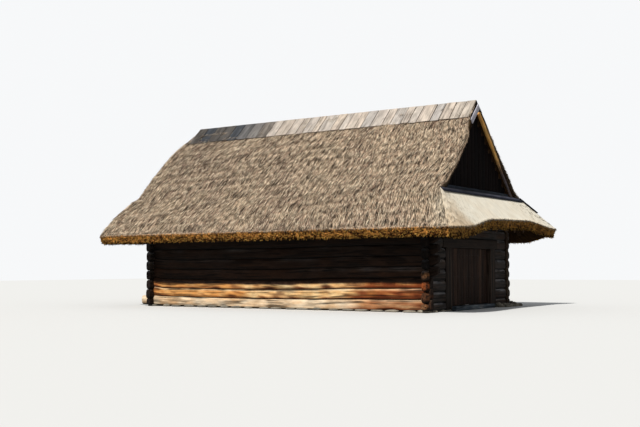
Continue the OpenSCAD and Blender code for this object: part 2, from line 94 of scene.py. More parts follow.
def waves(points, seed, length, count=7):
    """Smooth unevenness from about -1 to 1: the mean of sine waves of about one length that run
    in random directions, each sin(direction . point * 2 pi / length + phase)."""
    rng = np.random.default_rng(seed)
    direction = unit(rng.normal(size=(count, 3)))
    turn = direction * (2 * math.pi / length) * rng.uniform(0.6, 1.6, (count, 1))
    phase = rng.uniform(0, 2 * math.pi, count)
    return np.sin(np.asarray(points) @ turn.T + phase).mean(-1) * 1.7


def ease(low, high, t):
    """Smooth step: 0 up to low, 1 from high on, 3s^2 - 2s^3 between them."""
    s = np.clip((t - low) / (high - low), 0.0, 1.0)
    return s * s * (3 - 2 * s)


def blend_colours(a, b, t):
    """Straight mix of two colours, one row for each value in t."""
    t = np.clip(np.asarray(t, float), 0, 1)[..., None]
    return np.asarray(a) * (1 - t) + np.asarray(b) * t


def grid_faces(rows, cols):
    """Quads between neighbouring rows and columns of a grid whose rows are closed rings, and for
    each corner its place in a grid of (rows, cols + 1) pattern coordinates."""
    r = np.arange(rows - 1)[:, None]
    c = np.arange(cols)[None, :]
    ahead = (c + 1) % cols
    quads = np.stack([r * cols + c, r * cols + ahead, (r + 1) * cols + ahead, (r + 1) * cols + c], -1)
    wide = cols + 1
    cells = np.stack([r * wide + c, r * wide + c + 1, (r + 1) * wide + c + 1, (r + 1) * wide + c], -1)
    return quads.reshape(-1, 4), cells.reshape(-1)


def grid_part(points, uv, stain, kinds=0):
    """One grid of points (rows, cols, 3) as a part: points, quads, corner coordinates, a colour for
    each point and a material number for each face."""
    rows, cols = points.shape[:2]
    quads, cells = grid_faces(rows, cols)
    return (points.reshape(-1, 3), quads, uv.reshape(-1, 2)[cells],
            np.broadcast_to(stain, points.shape).reshape(-1, 3),
            np.broadcast_to(kinds, (rows - 1, cols)).reshape(-1))


def signed_volume(points, quads):
    """Volume of a closed shell by the divergence theorem: positive where its faces point out."""
    a, b, c, d = (points[quads[:, i]] for i in range(4))
    return np.einsum("ij,ij->i", a, np.cross(b, c)).sum() + np.einsum("ij,ij->i", a, np.cross(c, d)).sum()


def joined(parts):
    """Parts as one: points, faces numbered on from part to part, and the rest end to end."""
    starts = np.cumsum([0] + [len(part[0]) for part in parts])
    columns = [list(column) for column in zip(*parts)]
    columns[1] = [faces + start for faces, start in zip(columns[1], starts)]
    return [np.concatenate(column) for column in columns]


def mesh_of(name, points, faces, stain):
    """A mesh from points, faces with one number of corners, and a scene-linear colour a point."""
    mesh = bpy.data.meshes.new(name)
    mesh.vertices.add(len(points))
    mesh.vertices.foreach_set("co", points.astype(np.float32).ravel())
    mesh.loops.add(faces.size)
    mesh.loops.foreach_set("vertex_index", faces.astype(np.int32).ravel())
    mesh.polygons.add(len(faces))
    starts = np.arange(0, faces.size, faces.shape[1], dtype=np.int32)
    mesh.polygons.foreach_set("loop_start", starts)
    layer = mesh.color_attributes.new("stain", "FLOAT_COLOR", "POINT")
    rgba = np.c_[stain, np.ones(len(stain))]
    layer.data.foreach_set("color", rgba.astype(np.float32).ravel())
    return mesh


def place_mesh(name, mesh, finishes, body, replaces=()):
    """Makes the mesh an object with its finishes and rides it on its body."""
    piece = bpy.data.objects.new(name, mesh)
    bpy.context.scene.collection.objects.link(piece)
    for finish in finishes:
        mesh.materials.append(finish)
    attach(piece, body)
    if replaces:
        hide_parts(*replaces)


def add_piece(name, parts, finishes, body="building", replaces=()):
    """Joins parts into one mesh object with the colour attribute stain and the map Grain, turned
    outwards part by part, and rides it on its body."""
    turned = []
    for points, quads, uv, stain, kinds in parts:
        if signed_volume(points, quads) < 0:
            quads = quads[:, ::-1]
            uv = uv.reshape(-1, 4, 2)[:, ::-1].reshape(-1, 2)
        turned.append((points, quads, uv, stain, kinds))
    points, quads, uv, stain, kinds = joined(turned)
    mesh = mesh_of(name, points, quads, stain)
    mesh.polygons.foreach_set("material_index", kinds.astype(np.int32))
    mesh.polygons.foreach_set("use_smooth", np.ones(len(quads), bool))
    mesh.uv_layers.new(name="Grain").data.foreach_set("uv", uv.astype(np.float32).ravel())
    mesh.update(calc_edges=True)
    work = bmesh.new()
    work.from_mesh(mesh)
    bmesh.ops.remove_doubles(work, verts=work.verts, dist=0.00002)
    bmesh.ops.dissolve_degenerate(work, edges=work.edges, dist=0.00001)
    work.to_mesh(mesh)
    work.free()
    mesh.validate()
    place_mesh(name, mesh, finishes, body, replaces)


class Nodes:
    """A material's nodes, added and linked in one line each."""

    def __init__(self, name):
        self.material = bpy.data.materials.new(name)
        self.material.use_nodes = True
        self.tree = self.material.node_tree
        self.shader = self.tree.nodes["Principled BSDF"]

    def add(self, kind, inputs=(), **settings):
        """One node of that kind, with its settings, and its inputs as numbers, colours or sockets."""
        node = self.tree.nodes.new(kind)
        for key, value in settings.items():
            setattr(node, key, value)
        for key, value in dict(inputs).items():
            self.put(node.inputs[key], value)
        return node

    def put(self, socket, value):
        """Sets a socket, or links it where the value is another socket."""
        if isinstance(value, bpy.types.NodeSocket):
            self.tree.links.new(value, socket)
        else:
            socket.default_value = value

    def place(self, source, scale, turn=(0, 0, 0)):
        """Coordinates from the Grain map or from the object, stretched by scale."""
        if source == "Object":
            origin = self.add("ShaderNodeTexCoord").outputs["Object"]
        else:
            origin = self.add("ShaderNodeUVMap", uv_map=source).outputs["UV"]
        return self.add("ShaderNodeMapping",
                        {"Vector": origin, "Scale": scale, "Rotation": turn}).outputs["Vector"]

    def noise(self, at, scale=1.0, detail=4.0, rough=0.6, warp=0.0):
        """Noise value at a place, about 0.5 on average."""
        return self.add("ShaderNodeTexNoise", {
            "Vector": at, "Scale": scale, "Detail": detail, "Roughness": rough, "Distortion": warp,
        }).outputs["Fac"]

    def grain(self, stretch, detail=4.0, rough=0.6, warp=0.0):
        """Noise on the Grain map: stretch says how often it changes in a metre, along and round."""
        return self.noise(self.place("Grain", (*stretch, 1)), 1.0, detail, rough, warp)

    def ramp(self, value, stops):
        """A grey or colour ramp: stops are (position, grey or colour)."""
        node = self.add("ShaderNodeValToRGB", {"Fac": value})
        while len(node.color_ramp.elements) < len(stops):
            node.color_ramp.elements.new(0.5)
        for element, (position, colour) in zip(node.color_ramp.elements, stops):
            element.position = position
            rgb = (colour,) * 3 if isinstance(colour, (int, float)) else tuple(colour)
            element.color = (*rgb, 1.0)
        return node.outputs["Color"]

    def mix(self, a, b, factor=1.0, blend="MIX"):
        """Mixes two colours."""
        node = self.add("ShaderNodeMix", data_type="RGBA", blend_type=blend)
        first, second = (s for s in node.inputs if s.type == "RGBA")
        self.put(node.inputs["Factor"], factor)
        self.put(first, a)
        self.put(second, b)
        return next(s for s in node.outputs if s.type == "RGBA")

    def times(self, colour, *others):
        """Product of colours."""
        for other in others:
            colour = self.mix(colour, other, 1.0, "MULTIPLY")
        return colour

    def sum(self, a, b, how="ADD"):
        """Arithmetic on two values."""
        node = self.add("ShaderNodeMath", operation=how)
        self.put(node.inputs[0], a)
        self.put(node.inputs[1], b)
        return node.outputs[0]

    def finish(self, colour, height, depth, roughness=0.85, specular=0.12):
        """Links colour and bump to the shader. depth is the relief in metres."""
        self.put(self.shader.inputs["Base Color"], colour)
        bump = self.add("ShaderNodeBump", {"Height": height, "Distance": depth, "Strength": 1.0})
        self.put(self.shader.inputs["Normal"], bump.outputs["Normal"])
        self.put(self.shader.inputs["Roughness"], roughness)
        self.put(self.shader.inputs["Specular IOR Level"], specular)
        return self.material

    def stain(self):
        """The colour that the piece's own points carry."""
        return self.add("ShaderNodeAttribute", attribute_name="stain").outputs["Color"]


def field_stone_finish():
    """Stone: a slow change of grey, speckled grains and small pits."""
    n = Nodes("field stone")
    at = n.place("Object", (1, 1, 1))
    blotch = n.ramp(n.noise(at, 9.0, 5.0), [(0.3, 0.72), (0.7, 1.2)])
    speck = n.ramp(n.noise(at, 140.0, 2.0), [(0.35, 0.7), (0.6, 1.1)])
    return n.finish(n.times(n.stain(), blotch, speck), n.noise(at, 60.0, 6.0), 0.006, 0.9)


def stone_part(centre, size, seed, tint):
    """A lump on the ground: a sphere squeezed to size, made uneven by waves and cut flat below.
    Point = centre + size * (cos a cos b, sin a cos b, sin b) * (1 + waves)."""
    rows, cols = 9, 14
    a = np.linspace(0, 2 * math.pi, cols, endpoint=False)[None, :]
    b = np.linspace(-math.pi / 2, math.pi / 2, rows)[:, None]
    ball = np.stack([np.cos(a) * np.cos(b), np.sin(a) * np.cos(b), np.sin(b) * np.ones_like(a)], -1)
    boxed = np.sign(ball) * np.abs(ball) ** 0.75
    lump = boxed * (1 + 0.13 * waves(ball * 1.3, seed, 1.6))[..., None] * np.asarray(size)
    points = lump + np.asarray(centre)
    points[..., 2] = np.maximum(points[..., 2], 0.0)
    return grid_part(points, np.zeros((rows, cols + 1, 2)), linear(tint))


def footing_parts():
    """A row of stones along each long wall, each a little proud of the log that it carries, a few at
    the gables' corners and the jambs, and small ones heaped at the foot of the wall by the door."""
    rng = np.random.default_rng(11)
    wall_y = abs(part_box("front_sill_log")[0].y)
    wall_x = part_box("left_door_jamb")[1].x
    parts = []
    for side in (-1, 1):
        for i in range(stones_a_side):
            x = -wall_x + 0.2 + i * (2 * wall_x - 0.4) / (stones_a_side - 1) + rng.uniform(-0.08, 0.08)
            size = (rng.uniform(0.18, 0.29), rng.uniform(0.14, 0.19), rng.uniform(0.045, 0.075))
            tint = blend_colours(STONE_GREY, STONE_PALE, rng.uniform(0, 1) * (1.0 if x > 3.5 else 0.6))
            parts.append(stone_part((x, side * (wall_y - 0.08), 0.03), size, 100 + i, tint))
    for side in (-1, 1):
        for y in (-2.95, -2.3, -1.93, 1.93, 2.4, 2.95):
            size = (0.16, rng.uniform(0.16, 0.23), rng.uniform(0.045, 0.065))
            parts.append(stone_part((side * (wall_x - 0.12), y, 0.02), size, 300 + int(10 * y),
                                    blend_colours(STONE_GREY, STONE_PALE, rng.uniform(0, 0.7))))
    for i in range(small_stones):
        y = rng.uniform(1.9, 3.55)
        out = rng.uniform(0.05, 0.42)
        size = rng.uniform(0.05, 0.12, 3) * (1, 1, 0.75)
        z = max(0.03, 0.19 - 0.42 * out) * rng.uniform(0.2, 1.0)
        parts.append(stone_part((wall_x + out, y, z), size, 500 + i,
                                blend_colours(STONE_GREY, STONE_PALE, rng.uniform(0, 0.6))))
    return parts


add_piece("field_stones", footing_parts(), [field_stone_finish()],
          replaces=["footing_stones"])


# Long walls: nine courses of hewn pine logs each, flat outside and in, laid on one another with
# an open bed joint and notched where they cross the gable logs. The lowest is a pale newer log.
SILL_PALE = (0.93, 0.85, 0.74)
SILL_ORANGE = (0.82, 0.62, 0.42)
LOG_GOLDEN = (0.91, 0.68, 0.42)
LOG_CREAM = (0.97, 0.86, 0.67)
LOG_RUST = (0.52, 0.27, 0.15)
LOG_BROWN = (0.235, 0.165, 0.13)
# Dark brown used as painted shade on the logs.
LOG_DARK_SHADE = (0.165, 0.125, 0.105)
LOG_HIGHLIGHT_GREY = (0.50, 0.50, 0.52)
LOG_DAMP = (0.36, 0.32, 0.26)
wall_sag = 0.045
settled = 0.075
# Height on the front wall above which the logs are painted in the eave's shade.
sun_line_z = 0.985
course_h = 0.370
top_course = 8
shaded_from = 3
footing_h = 0.060
course_step = 0.120
log_half_t = 0.110
log_half_h = 0.189
ring_points = 36
seen_step, hidden_step = 0.130, 0.300
end_flush, sill_out = 0.040, 0.450
corbel_from, corbel_out, corbel_cut = 3, 0.300, 0.130


def superellipse(t, power):
    """Points of |a|^p + |b|^p = 1 at the angles t: a = |cos t|^(2/p), b = |sin t|^(2/p), signed."""
    c, s = np.cos(t), np.sin(t)
    return np.sign(c) * np.abs(c) ** (2 / power), np.sign(s) * np.abs(s) ** (2 / power)


def ring_angles(count, power):
    """Angles that space the points of a superellipse evenly along its length, and that length."""
    t = np.linspace(0, 2 * math.pi, 1441)
    a, b = superellipse(t, power)
    way = np.r_[0, np.cumsum(np.hypot(np.diff(a * log_half_t), np.diff(b * log_half_h)))]
    at = np.linspace(0, way[-1], count, endpoint=False)
    return np.interp(at, way, t), at, way[-1]


def hewn_log(start, stop, low, power, seed, stain_of, notches, half_h=log_half_h, under=0.0,
             round_from=None, step=hidden_step):
    """A log along s: a rounded ring of points carried from start to stop. Waves along it make it
    swell, lean and ripple, the ring turns rounder beyond round_from and shrinks to a point on each
    cut end, and inside a notch (from, to, lowest, highest) the heights are clipped. under is the
    height by which its lower side is cut away at the far end, as a power curve.
    Returns points as (s, depth, height)."""
    angles, way, round_length = ring_angles(ring_points, power)
    body = np.linspace(start + 0.03, stop - 0.03, max(6, int((stop - start) / step)))
    edges = [e for n in notches for e in (n[0] - 0.001, n[0], n[1], n[1] + 0.001)]
    s = np.sort(np.r_[body, [e for e in edges if start + 0.03 < e < stop - 0.03]])
    first = start + np.array([0.006, 0.0, 0.001, 0.007, 0.018])
    last = stop - np.array([0.018, 0.007, 0.001, 0.0, 0.006])
    shrink = np.r_[0.0, 0.45, 0.84, 0.94, 0.98, np.ones(len(s)), 0.98, 0.94, 0.84, 0.45, 0.0]
    s = np.r_[first, s, last]
    line = np.stack([s, np.full_like(s, seed * 3.1), np.zeros_like(s)], -1)
    outside = np.zeros_like(s) if round_from is None else ease(round_from, round_from + 0.10, np.abs(s))
    a, b = superellipse(angles, (power - (power - 2.5) * outside)[:, None])
    swell = 1 + 0.035 * waves(line, seed, 4.5)
    points = np.empty((len(s), ring_points, 3))
    points[..., 0] = s[:, None]
    lean = 0.008 * waves(line, seed + 1, 3.0)
    points[..., 1] = a * log_half_t * (shrink * swell)[:, None] + lean[:, None]
    points[..., 2] = b * half_h * (shrink * (1 - 0.045 * outside))[:, None]
    hewn = 0.0045 * waves(points, seed + 2, 0.9) + 0.0025 * waves(points, seed + 3, 0.22)
    points[..., 1:] += unit(points[..., 1:]) * (hewn * np.sqrt(shrink)[:, None])[..., None]
    points[..., 0] += np.where(shrink < 1, 1.0, 0.0)[:, None] * 0.005 * waves(points, seed + 4, 0.12)
    points[..., 2] += (low + half_h + 0.005 * waves(line, seed + 5, 3.4))[:, None]
    if under:
        rise = under * np.clip((s - (stop - corbel_out)) / corbel_out, 0, 1) ** 1.8
        share = np.clip((low + 2 * half_h - points[..., 2]) / (2 * half_h), 0, 1)
        points[..., 2] += rise[:, None] * share
    for a, b, lowest, highest in notches:
        inside = (s >= a) & (s <= b)
        points[inside, :, 2] = np.clip(points[inside, :, 2], lowest, highest)
    along = np.broadcast_to(s[:, None] + seed * 2.7, (len(s), ring_points + 1))
    around = np.broadcast_to(np.r_[way, round_length] + seed * 1.9, along.shape)
    uv = np.stack([along, around], -1)
    cap = shrink < 0.96
    wide = np.concatenate([points, points[:, :1]], 1)
    uv[cap] = np.stack([wide[cap][..., 1], wide[cap][..., 2] - low - half_h], -1) + seed * 0.013
    kinds = (cap[:-1] & cap[1:]).astype(int)[:, None]
    return points, uv, stain_of(points), kinds


def along_x(log, y):
    """Places a log along X with its middle at y."""
    points, uv, stain, kinds = log
    placed = np.stack([points[..., 0], points[..., 1] + y, points[..., 2]], -1)
    return grid_part(placed, uv, stain, kinds)


def along_y(log, x):
    """Places a log along Y with its middle at x."""
    points, uv, stain, kinds = log
    placed = np.stack([points[..., 1] + x, points[..., 0], points[..., 2]], -1)
    return grid_part(placed, uv, stain, kinds)


def hewn_wood_finish(name, streak=0.45, crack=1.0, depth=0.006, warmth=(0.98, 0.80, 0.62), specular=0.12):
    """Weathered pine: fine fibres and streaks along the log, patches of a warmer tone, long drying
    cracks where a stretched noise crosses its middle value, a few knots, and the points' colour."""
    n = Nodes(name)
    fibre = n.grain((3.4, 105), 4.0, 0.65)
    broad = n.grain((0.7, 15), 3.0, 0.6, 0.25)
    patch = n.grain((1.7, 4.6))
    warm = n.grain((1.2, 3.4), 3.0, 0.6, 0.3)
    split = n.grain((0.22, 8), 2.0, 0.5, 0.15)
    far = n.sum(split, 0.5, "SUBTRACT")
    line = n.ramp(n.sum(far, far, "MULTIPLY"), [(0.0, 0.22), (0.0002, 0.5), (0.0009, 1.0)])
    there = n.ramp(n.grain((0.7, 5), 1.0), [(0.45, 0.0), (0.52, 1.0)])
    cracks = n.mix((1, 1, 1, 1), line, n.sum(there, crack, "MULTIPLY"))
    cells = n.add("ShaderNodeTexVoronoi", {"Vector": n.place("Grain", (0.8, 2.1, 1)), "Scale": 1.0})
    knot = n.ramp(cells.outputs["Distance"], [(0.022, 0.35), (0.05, 1.0)])
    colour = n.times(n.stain(), n.ramp(fibre, [(0.32, 0.78), (0.68, 1.20)]),
                     n.ramp(broad, [(0.32, 1 - streak), (0.68, 1 + 0.6 * streak)]),
                     n.ramp(patch, [(0.30, 0.62), (0.52, 1.0), (0.72, 1.26)]),
                     n.ramp(warm, [(0.36, (1.06, 1.05, 1.02)), (0.66, warmth)]), cracks, knot)
    height = n.sum(n.sum(fibre, 0.3, "MULTIPLY"), n.sum(cracks, knot, "MULTIPLY"), "ADD")
    return n.finish(colour, height, depth, 0.8, specular)


def end_grain_finish():
    """Cut log end: yearly rings round a wandering heart, and blotches of damp over them."""
    n = Nodes("pine end grain")
    at = n.place("Grain", (1, 1, 1))
    drift = n.add("ShaderNodeTexNoise", {"Vector": at, "Scale": 9.0, "Detail": 2.0})
    rings = n.add("ShaderNodeTexWave", {
        "Vector": n.mix(at, drift.outputs["Color"], 0.05), "Scale": 26.0, "Distortion": 1.5, "Detail": 2.0,
    }, wave_type="RINGS", rings_direction="SPHERICAL").outputs["Fac"]
    damp = n.ramp(n.noise(at, 14.0, 5.0), [(0.3, 0.6), (0.7, 1.2)])
    return n.finish(n.times(n.stain(), n.ramp(rings, [(0.1, 0.66), (0.8, 1.12)]), damp), rings, 0.004, 0.9)


hewn_wood = hewn_wood_finish("hewn pine", streak=0.20)
end_grain = end_grain_finish()


def front_course_colour(i):
    """Colour of a front course: pale sill, golden logs, and dark logs above the height that the sun
    reaches under the eave, partly their own brown and partly painted shade of the eave. The middle is
    bleached, the right end rusty, upper edges paler as a painted highlight, lower ones rustier and
    darker, partly as painted shade under the log's round, and the tips past the corner dark as
    painted shade."""
    bottom = footing_h + i * course_h

    def stain(points):
        x, z = points[..., 0], points[..., 2]
        patch = waves(points, 40 + i, 1.7)
        spot = waves(points * (1, 1, 1.5), 60 + i, 0.55)
        right = ease(2.4, 4.2, x + 0.5 * patch)
        middle = ease(-2.4, -0.2, x + 0.6 * patch) * (1 - right)
        level = (z - bottom) / course_h
        stripe = waves(points * (1, 1, 3.2), 80 + i, 0.8)
        # Towards the lower edge the logs turn rustier: partly rust, partly painted shade under their round.
        low_edge_rust_and_shade = ease(0.42, 0.08, level)
        if i == 0:
            orange = 0.12 + 0.25 * patch + 0.2 * spot + 0.45 * right - 0.30 * middle
            colour = blend_colours(SILL_PALE, SILL_ORANGE, orange)
            colour = blend_colours(colour, LOG_RUST, right * (0.45 + 0.5 * stripe + 0.6 * low_edge_rust_and_shade))
        elif i < shaded_from:
            rust = 0.85 * right + 0.7 * ease(0.35, 0.95, patch) + 0.45 * stripe + 0.6 * low_edge_rust_and_shade - 0.1
            colour = blend_colours(LOG_GOLDEN, LOG_CREAM, 0.8 * middle + 0.3 * spot)
            colour = blend_colours(colour, LOG_RUST, rust)
        else:
            # Upper courses: dark brown, partly the logs' own colour and partly painted shade of the eave.
            colour = blend_colours(LOG_BROWN, LOG_DARK_SHADE, 0.3 + (i - shaded_from) / 3 + 0.4 * patch)
        if i < shaded_from:
            # Paler upper edge: a painted highlight on the log's upper round.
            colour = blend_colours(colour, SILL_PALE, 0.6 * ease(0.74, 0.93, level))
            # Above the sun line the lower courses are painted in the eave's shade.
            eave_shade_above = ease(sun_line_z - 0.02, sun_line_z + 0.05, z + 0.02 * spot)
            colour = blend_colours(colour, LOG_BROWN, eave_shade_above)
        else:
            # Pale grey tops on the shaded courses: a painted highlight, broader on the right of the lowest
            # one.
            grey = 0.30 * ease(0.55, 0.90, level) * (0.6 + patch)
            grey = grey + 0.35 * (i == shaded_from) * right * ease(0.4, 0.7, level)
            colour = blend_colours(colour, LOG_HIGHLIGHT_GREY, grey)
        # Tips past the right corner painted dark: painted shade on faces turned away from the light.
        tip = ease(half_x - 0.05, half_x, x) * (0.90 + 0.30 * spot)
        left_end = ease(-half_x - 0.02, -half_x - 0.12, x)
        colour = blend_colours(blend_colours(colour, LOG_DARK_SHADE, tip), SILL_PALE, left_end * (i == 0))
        # Darker along each log's lower edge: painted shade at the joint; on the lit courses also random
        # darker stripes.
        dark = 0.70 * ease(0.17, 0.03, level) + 0.25 * ease(0.2, 1.0, stripe) * (i < shaded_from)
        return linear(colour * (1 - dark)[..., None])
    return stain


def rear_course_colour(i):
    """The rear logs never see the sun: grey-brown, greener and damper towards the ground."""
    def stain(points):
        patch = waves(points, 70 + i, 1.9)
        damp = 0.5 - 0.12 * i
        return linear(blend_colours(LOG_BROWN, LOG_DAMP, 0.45 + 0.4 * patch + damp * 0.5))
    return stain


def corner_notches(half_x, i):
    """Heights that a long wall's log keeps inside each corner."""
    bottom = footing_h + i * course_h
    keep_low = bottom + (course_h - course_step) / 2
    keep_high = bottom + course_h - (0 if i == top_course else course_step / 2)
    t = 2 * log_half_t
    return [(-half_x, -half_x + t, keep_low, keep_high), (half_x - t, half_x, keep_low, keep_high)]


def long_wall_part(i, side, half_x, wall_y):
    """Course i of a long wall. The wall sags a little in the middle, most at the sill, and the
    front one's lower courses have settled towards the left."""
    left = sill_out if i == 0 and side < 0 else end_flush
    corbel = side < 0 and i >= corbel_from
    right = corbel_out if corbel else end_flush
    colour = front_course_colour(i) if side < 0 else rear_course_colour(i)
    log = hewn_log(-half_x - left, half_x + right, footing_h + i * course_h - 0.004, 3.7,
                   20 + i + 30 * (side > 0), colour, corner_notches(half_x, i),
                   under=corbel_cut if corbel else 0.0, round_from=half_x,
                   step=seen_step if side < 0 else hidden_step)
    share = np.clip(1 - (log[0][..., 0] / half_x) ** 2, 0, 1)
    log[0][..., 2] -= wall_sag * (1 - i / top_course) * share
    if side < 0:
        x, z = log[0][..., 0], log[0][..., 2]
        drop = np.interp(z, (0.15, 0.80, 1.17, 3.30), (0.0, settled, settled, 0.0))
        log[0][..., 2] = z - drop * ease(3.8, -0.5, x) * ease(-half_x, -half_x + 0.8, x)
    return along_x(log, side * (wall_y - log_half_t))


half_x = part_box("door_wall_front_stub")[1].x
half_y = -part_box("front_sill_log")[0].y
for side, word in ((-1, "front"), (1, "rear")):
    for label, courses, slot_name in (("sill_log", [0], "pale_sill_log"),
                                      ("odd_logs", [1, 3, 5, 7], "front_log"),
                                      ("even_logs", [2, 4, 6, 8], "front_log")):
        add_piece(f"{word}_{label}_hewn", [long_wall_part(i, side, half_x, half_y) for i in courses],
                  [hewn_wood, end_grain], replaces=[f"{word}_{label}"])


# Gable walls: rounder logs, a third of a course lower than the long ones, with ends that run out
# past the corners. Beside the doorway they are short and butt against the broad jambs.
LOG_GREY = (0.250, 0.238, 0.240)
END_BEIGE = (0.60, 0.42, 0.28)
END_OLIVE = (0.42, 0.27, 0.18)
END_ORANGE = (0.66, 0.35, 0.18)
gable_out = 0.240
gable_sill_h = 0.250
jamb_outer = -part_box("left_door_jamb")[0].y
lintel_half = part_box("door_lintel")[1].y


def gable_bottom(j):
    """Underside of gable course j."""
    return footing_h if j == 0 else footing_h + j * course_h - course_step


def gable_colour(j, x, seed):
    """Grey logs with paler tops as a painted highlight and darker lower edges as painted shade at the
    joints. Their ends on the front side are painted sunlit, each in its own tone, below the eave's
    shadow line and darker at the bottom as painted shade; the left ends are painted in shade, and next
    to the corbels the wall is darker as painted shade."""
    bottom = gable_bottom(j)
    height = gable_sill_h if j == 0 else course_h
    sunlit_tone = (END_BEIGE, END_OLIVE, END_ORANGE, END_BEIGE)[j % 4]

    def stain(points):
        y, z = points[..., 0], points[..., 2]
        level = (z - bottom) / height
        patch = waves(points, seed, 1.3)
        spot = waves(points, seed + 5, 0.3)
        fleck = ease(0.1, 0.8, waves(points, seed + 6, 0.09))
        shade = blend_colours(LOG_GREY, LOG_BROWN, 0.25 + 0.5 * patch)
        # Paler tops: a painted highlight on the logs' upper round.
        top = ease(0.68, 0.86, level) * ease(-0.6, 0.2, spot + patch + 0.4)
        shade = blend_colours(shade, LOG_HIGHLIGHT_GREY, 0.95 * top)
        # Darker lower edges: painted shade at the joints.
        shade = shade * (1 - 0.75 * ease(0.22, 0.05, level))[..., None]
        # Painted shade of the corbels on the wall beside them.
        corner = ease(-2.90, -3.05, y) * ease(1.25, 1.6, z) * (x > 0)
        shade = shade * (1 - 0.5 * corner)[..., None]
        # Ends on the front side are painted sunlit below the eave's shadow line and in shade above it; the
        # left ends are painted in shade.
        sunny = ease(-half_y + 0.02, -half_y - 0.04, y)
        end = blend_colours(sunlit_tone if x > 0 else LOG_DARK_SHADE, LOG_BROWN, 0.10 + 0.6 * spot)
        # Ends darker at their lower edge: painted shade; the flecks are random.
        end = end * (1 - np.maximum(0.75 * ease(0.36, 0.10, level), 0.7 * fleck))[..., None]
        return linear(blend_colours(shade, end, sunny * ease(1.45, 1.25, z)))
    return stain


def gable_log_part(j, y0, y1, x, seed):
    """Course j of a gable wall between y0 and y1, at x."""
    bottom = gable_bottom(j)
    height = gable_sill_h if j == 0 else course_h
    low = footing_h if j == 0 else footing_h + (j - 1) * course_h + course_h - course_step / 2
    high = footing_h + j * course_h + (course_h - course_step) / 2
    t = 2 * log_half_t
    notches = [(-half_y, -half_y + t, low, high), (half_y - t, half_y, low, high)]
    log = hewn_log(y0, y1, bottom - 0.004, 3.0, seed, gable_colour(j, x, seed), notches,
                   half_h=height / 2 + 0.003, round_from=half_y if x > 0 else None,
                   step=seen_step if x > 0 else hidden_step)
    out = ease(half_y, half_y + 0.10, np.abs(log[0][..., 0])) * (1.0 if x > 0 else 0.2)
    turned = np.random.default_rng(seed + 9).uniform(-1, 1, 3)
    middle = bottom + height / 2
    log[0][..., 1] = log[0][..., 1] * (1 - out * (0.10 + 0.10 * turned[0])) + 0.012 * turned[1] * out
    log[0][..., 2] = middle + (log[0][..., 2] - middle) * (1 - out * (0.08 + 0.08 * turned[2]))
    return along_y(log, x)


def full_gable(courses, x, seed):
    """Whole logs across a gable."""
    reach = half_y + gable_out
    trims = np.random.default_rng(seed).uniform(0, 0.05, (top_course + 1, 2))
    return [gable_log_part(j, -reach + trims[j, 0], reach - trims[j, 1], x, seed + j) for j in courses]


gable_finishes = [hewn_wood, end_grain]
gable_mid = half_x - log_half_t
add_piece("left_gable_odd_hewn", full_gable([1, 3, 5, 7], -gable_mid, 200), gable_finishes,
          replaces=["left_gable_odd_logs"])
add_piece("left_gable_even_hewn", full_gable([0, 2, 4, 6, 8], -gable_mid, 200), gable_finishes,
          replaces=["left_gable_even_logs"])
stub_ends = [jamb_outer] * 6 + [lintel_half]
add_piece("door_wall_front_stub_hewn",
          [gable_log_part(j, -half_y - gable_out + 0.02 * (j % 3), -stub_ends[j], gable_mid, 230 + j)
           for j in range(7)],
          gable_finishes, replaces=["door_wall_front_stub"])
add_piece("door_wall_rear_stub_hewn",
          [gable_log_part(j, stub_ends[j], half_y + gable_out, gable_mid, 250 + j) for j in range(7)],
          gable_finishes, replaces=["door_wall_rear_stub"])
add_piece("door_wall_upper_hewn", full_gable([7, 8], gable_mid, 270), gable_finishes,
          replaces=["door_wall_upper_logs"])


# Doorway: two broad hewn jambs that cover the ends of the short logs, a lintel over them and a
# worn threshold slab.
FRAME_BROWN = (0.165, 0.130, 0.110)
FRAME_GREY = (0.205, 0.195, 0.185)
FRAME_PALE = (0.36, 0.31, 0.28)
THRESHOLD_GREY = (0.27, 0.32, 0.37)
THRESHOLD_WORN = (0.58, 0.60, 0.62)
jamb_inner = -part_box("left_door_jamb")[1].y


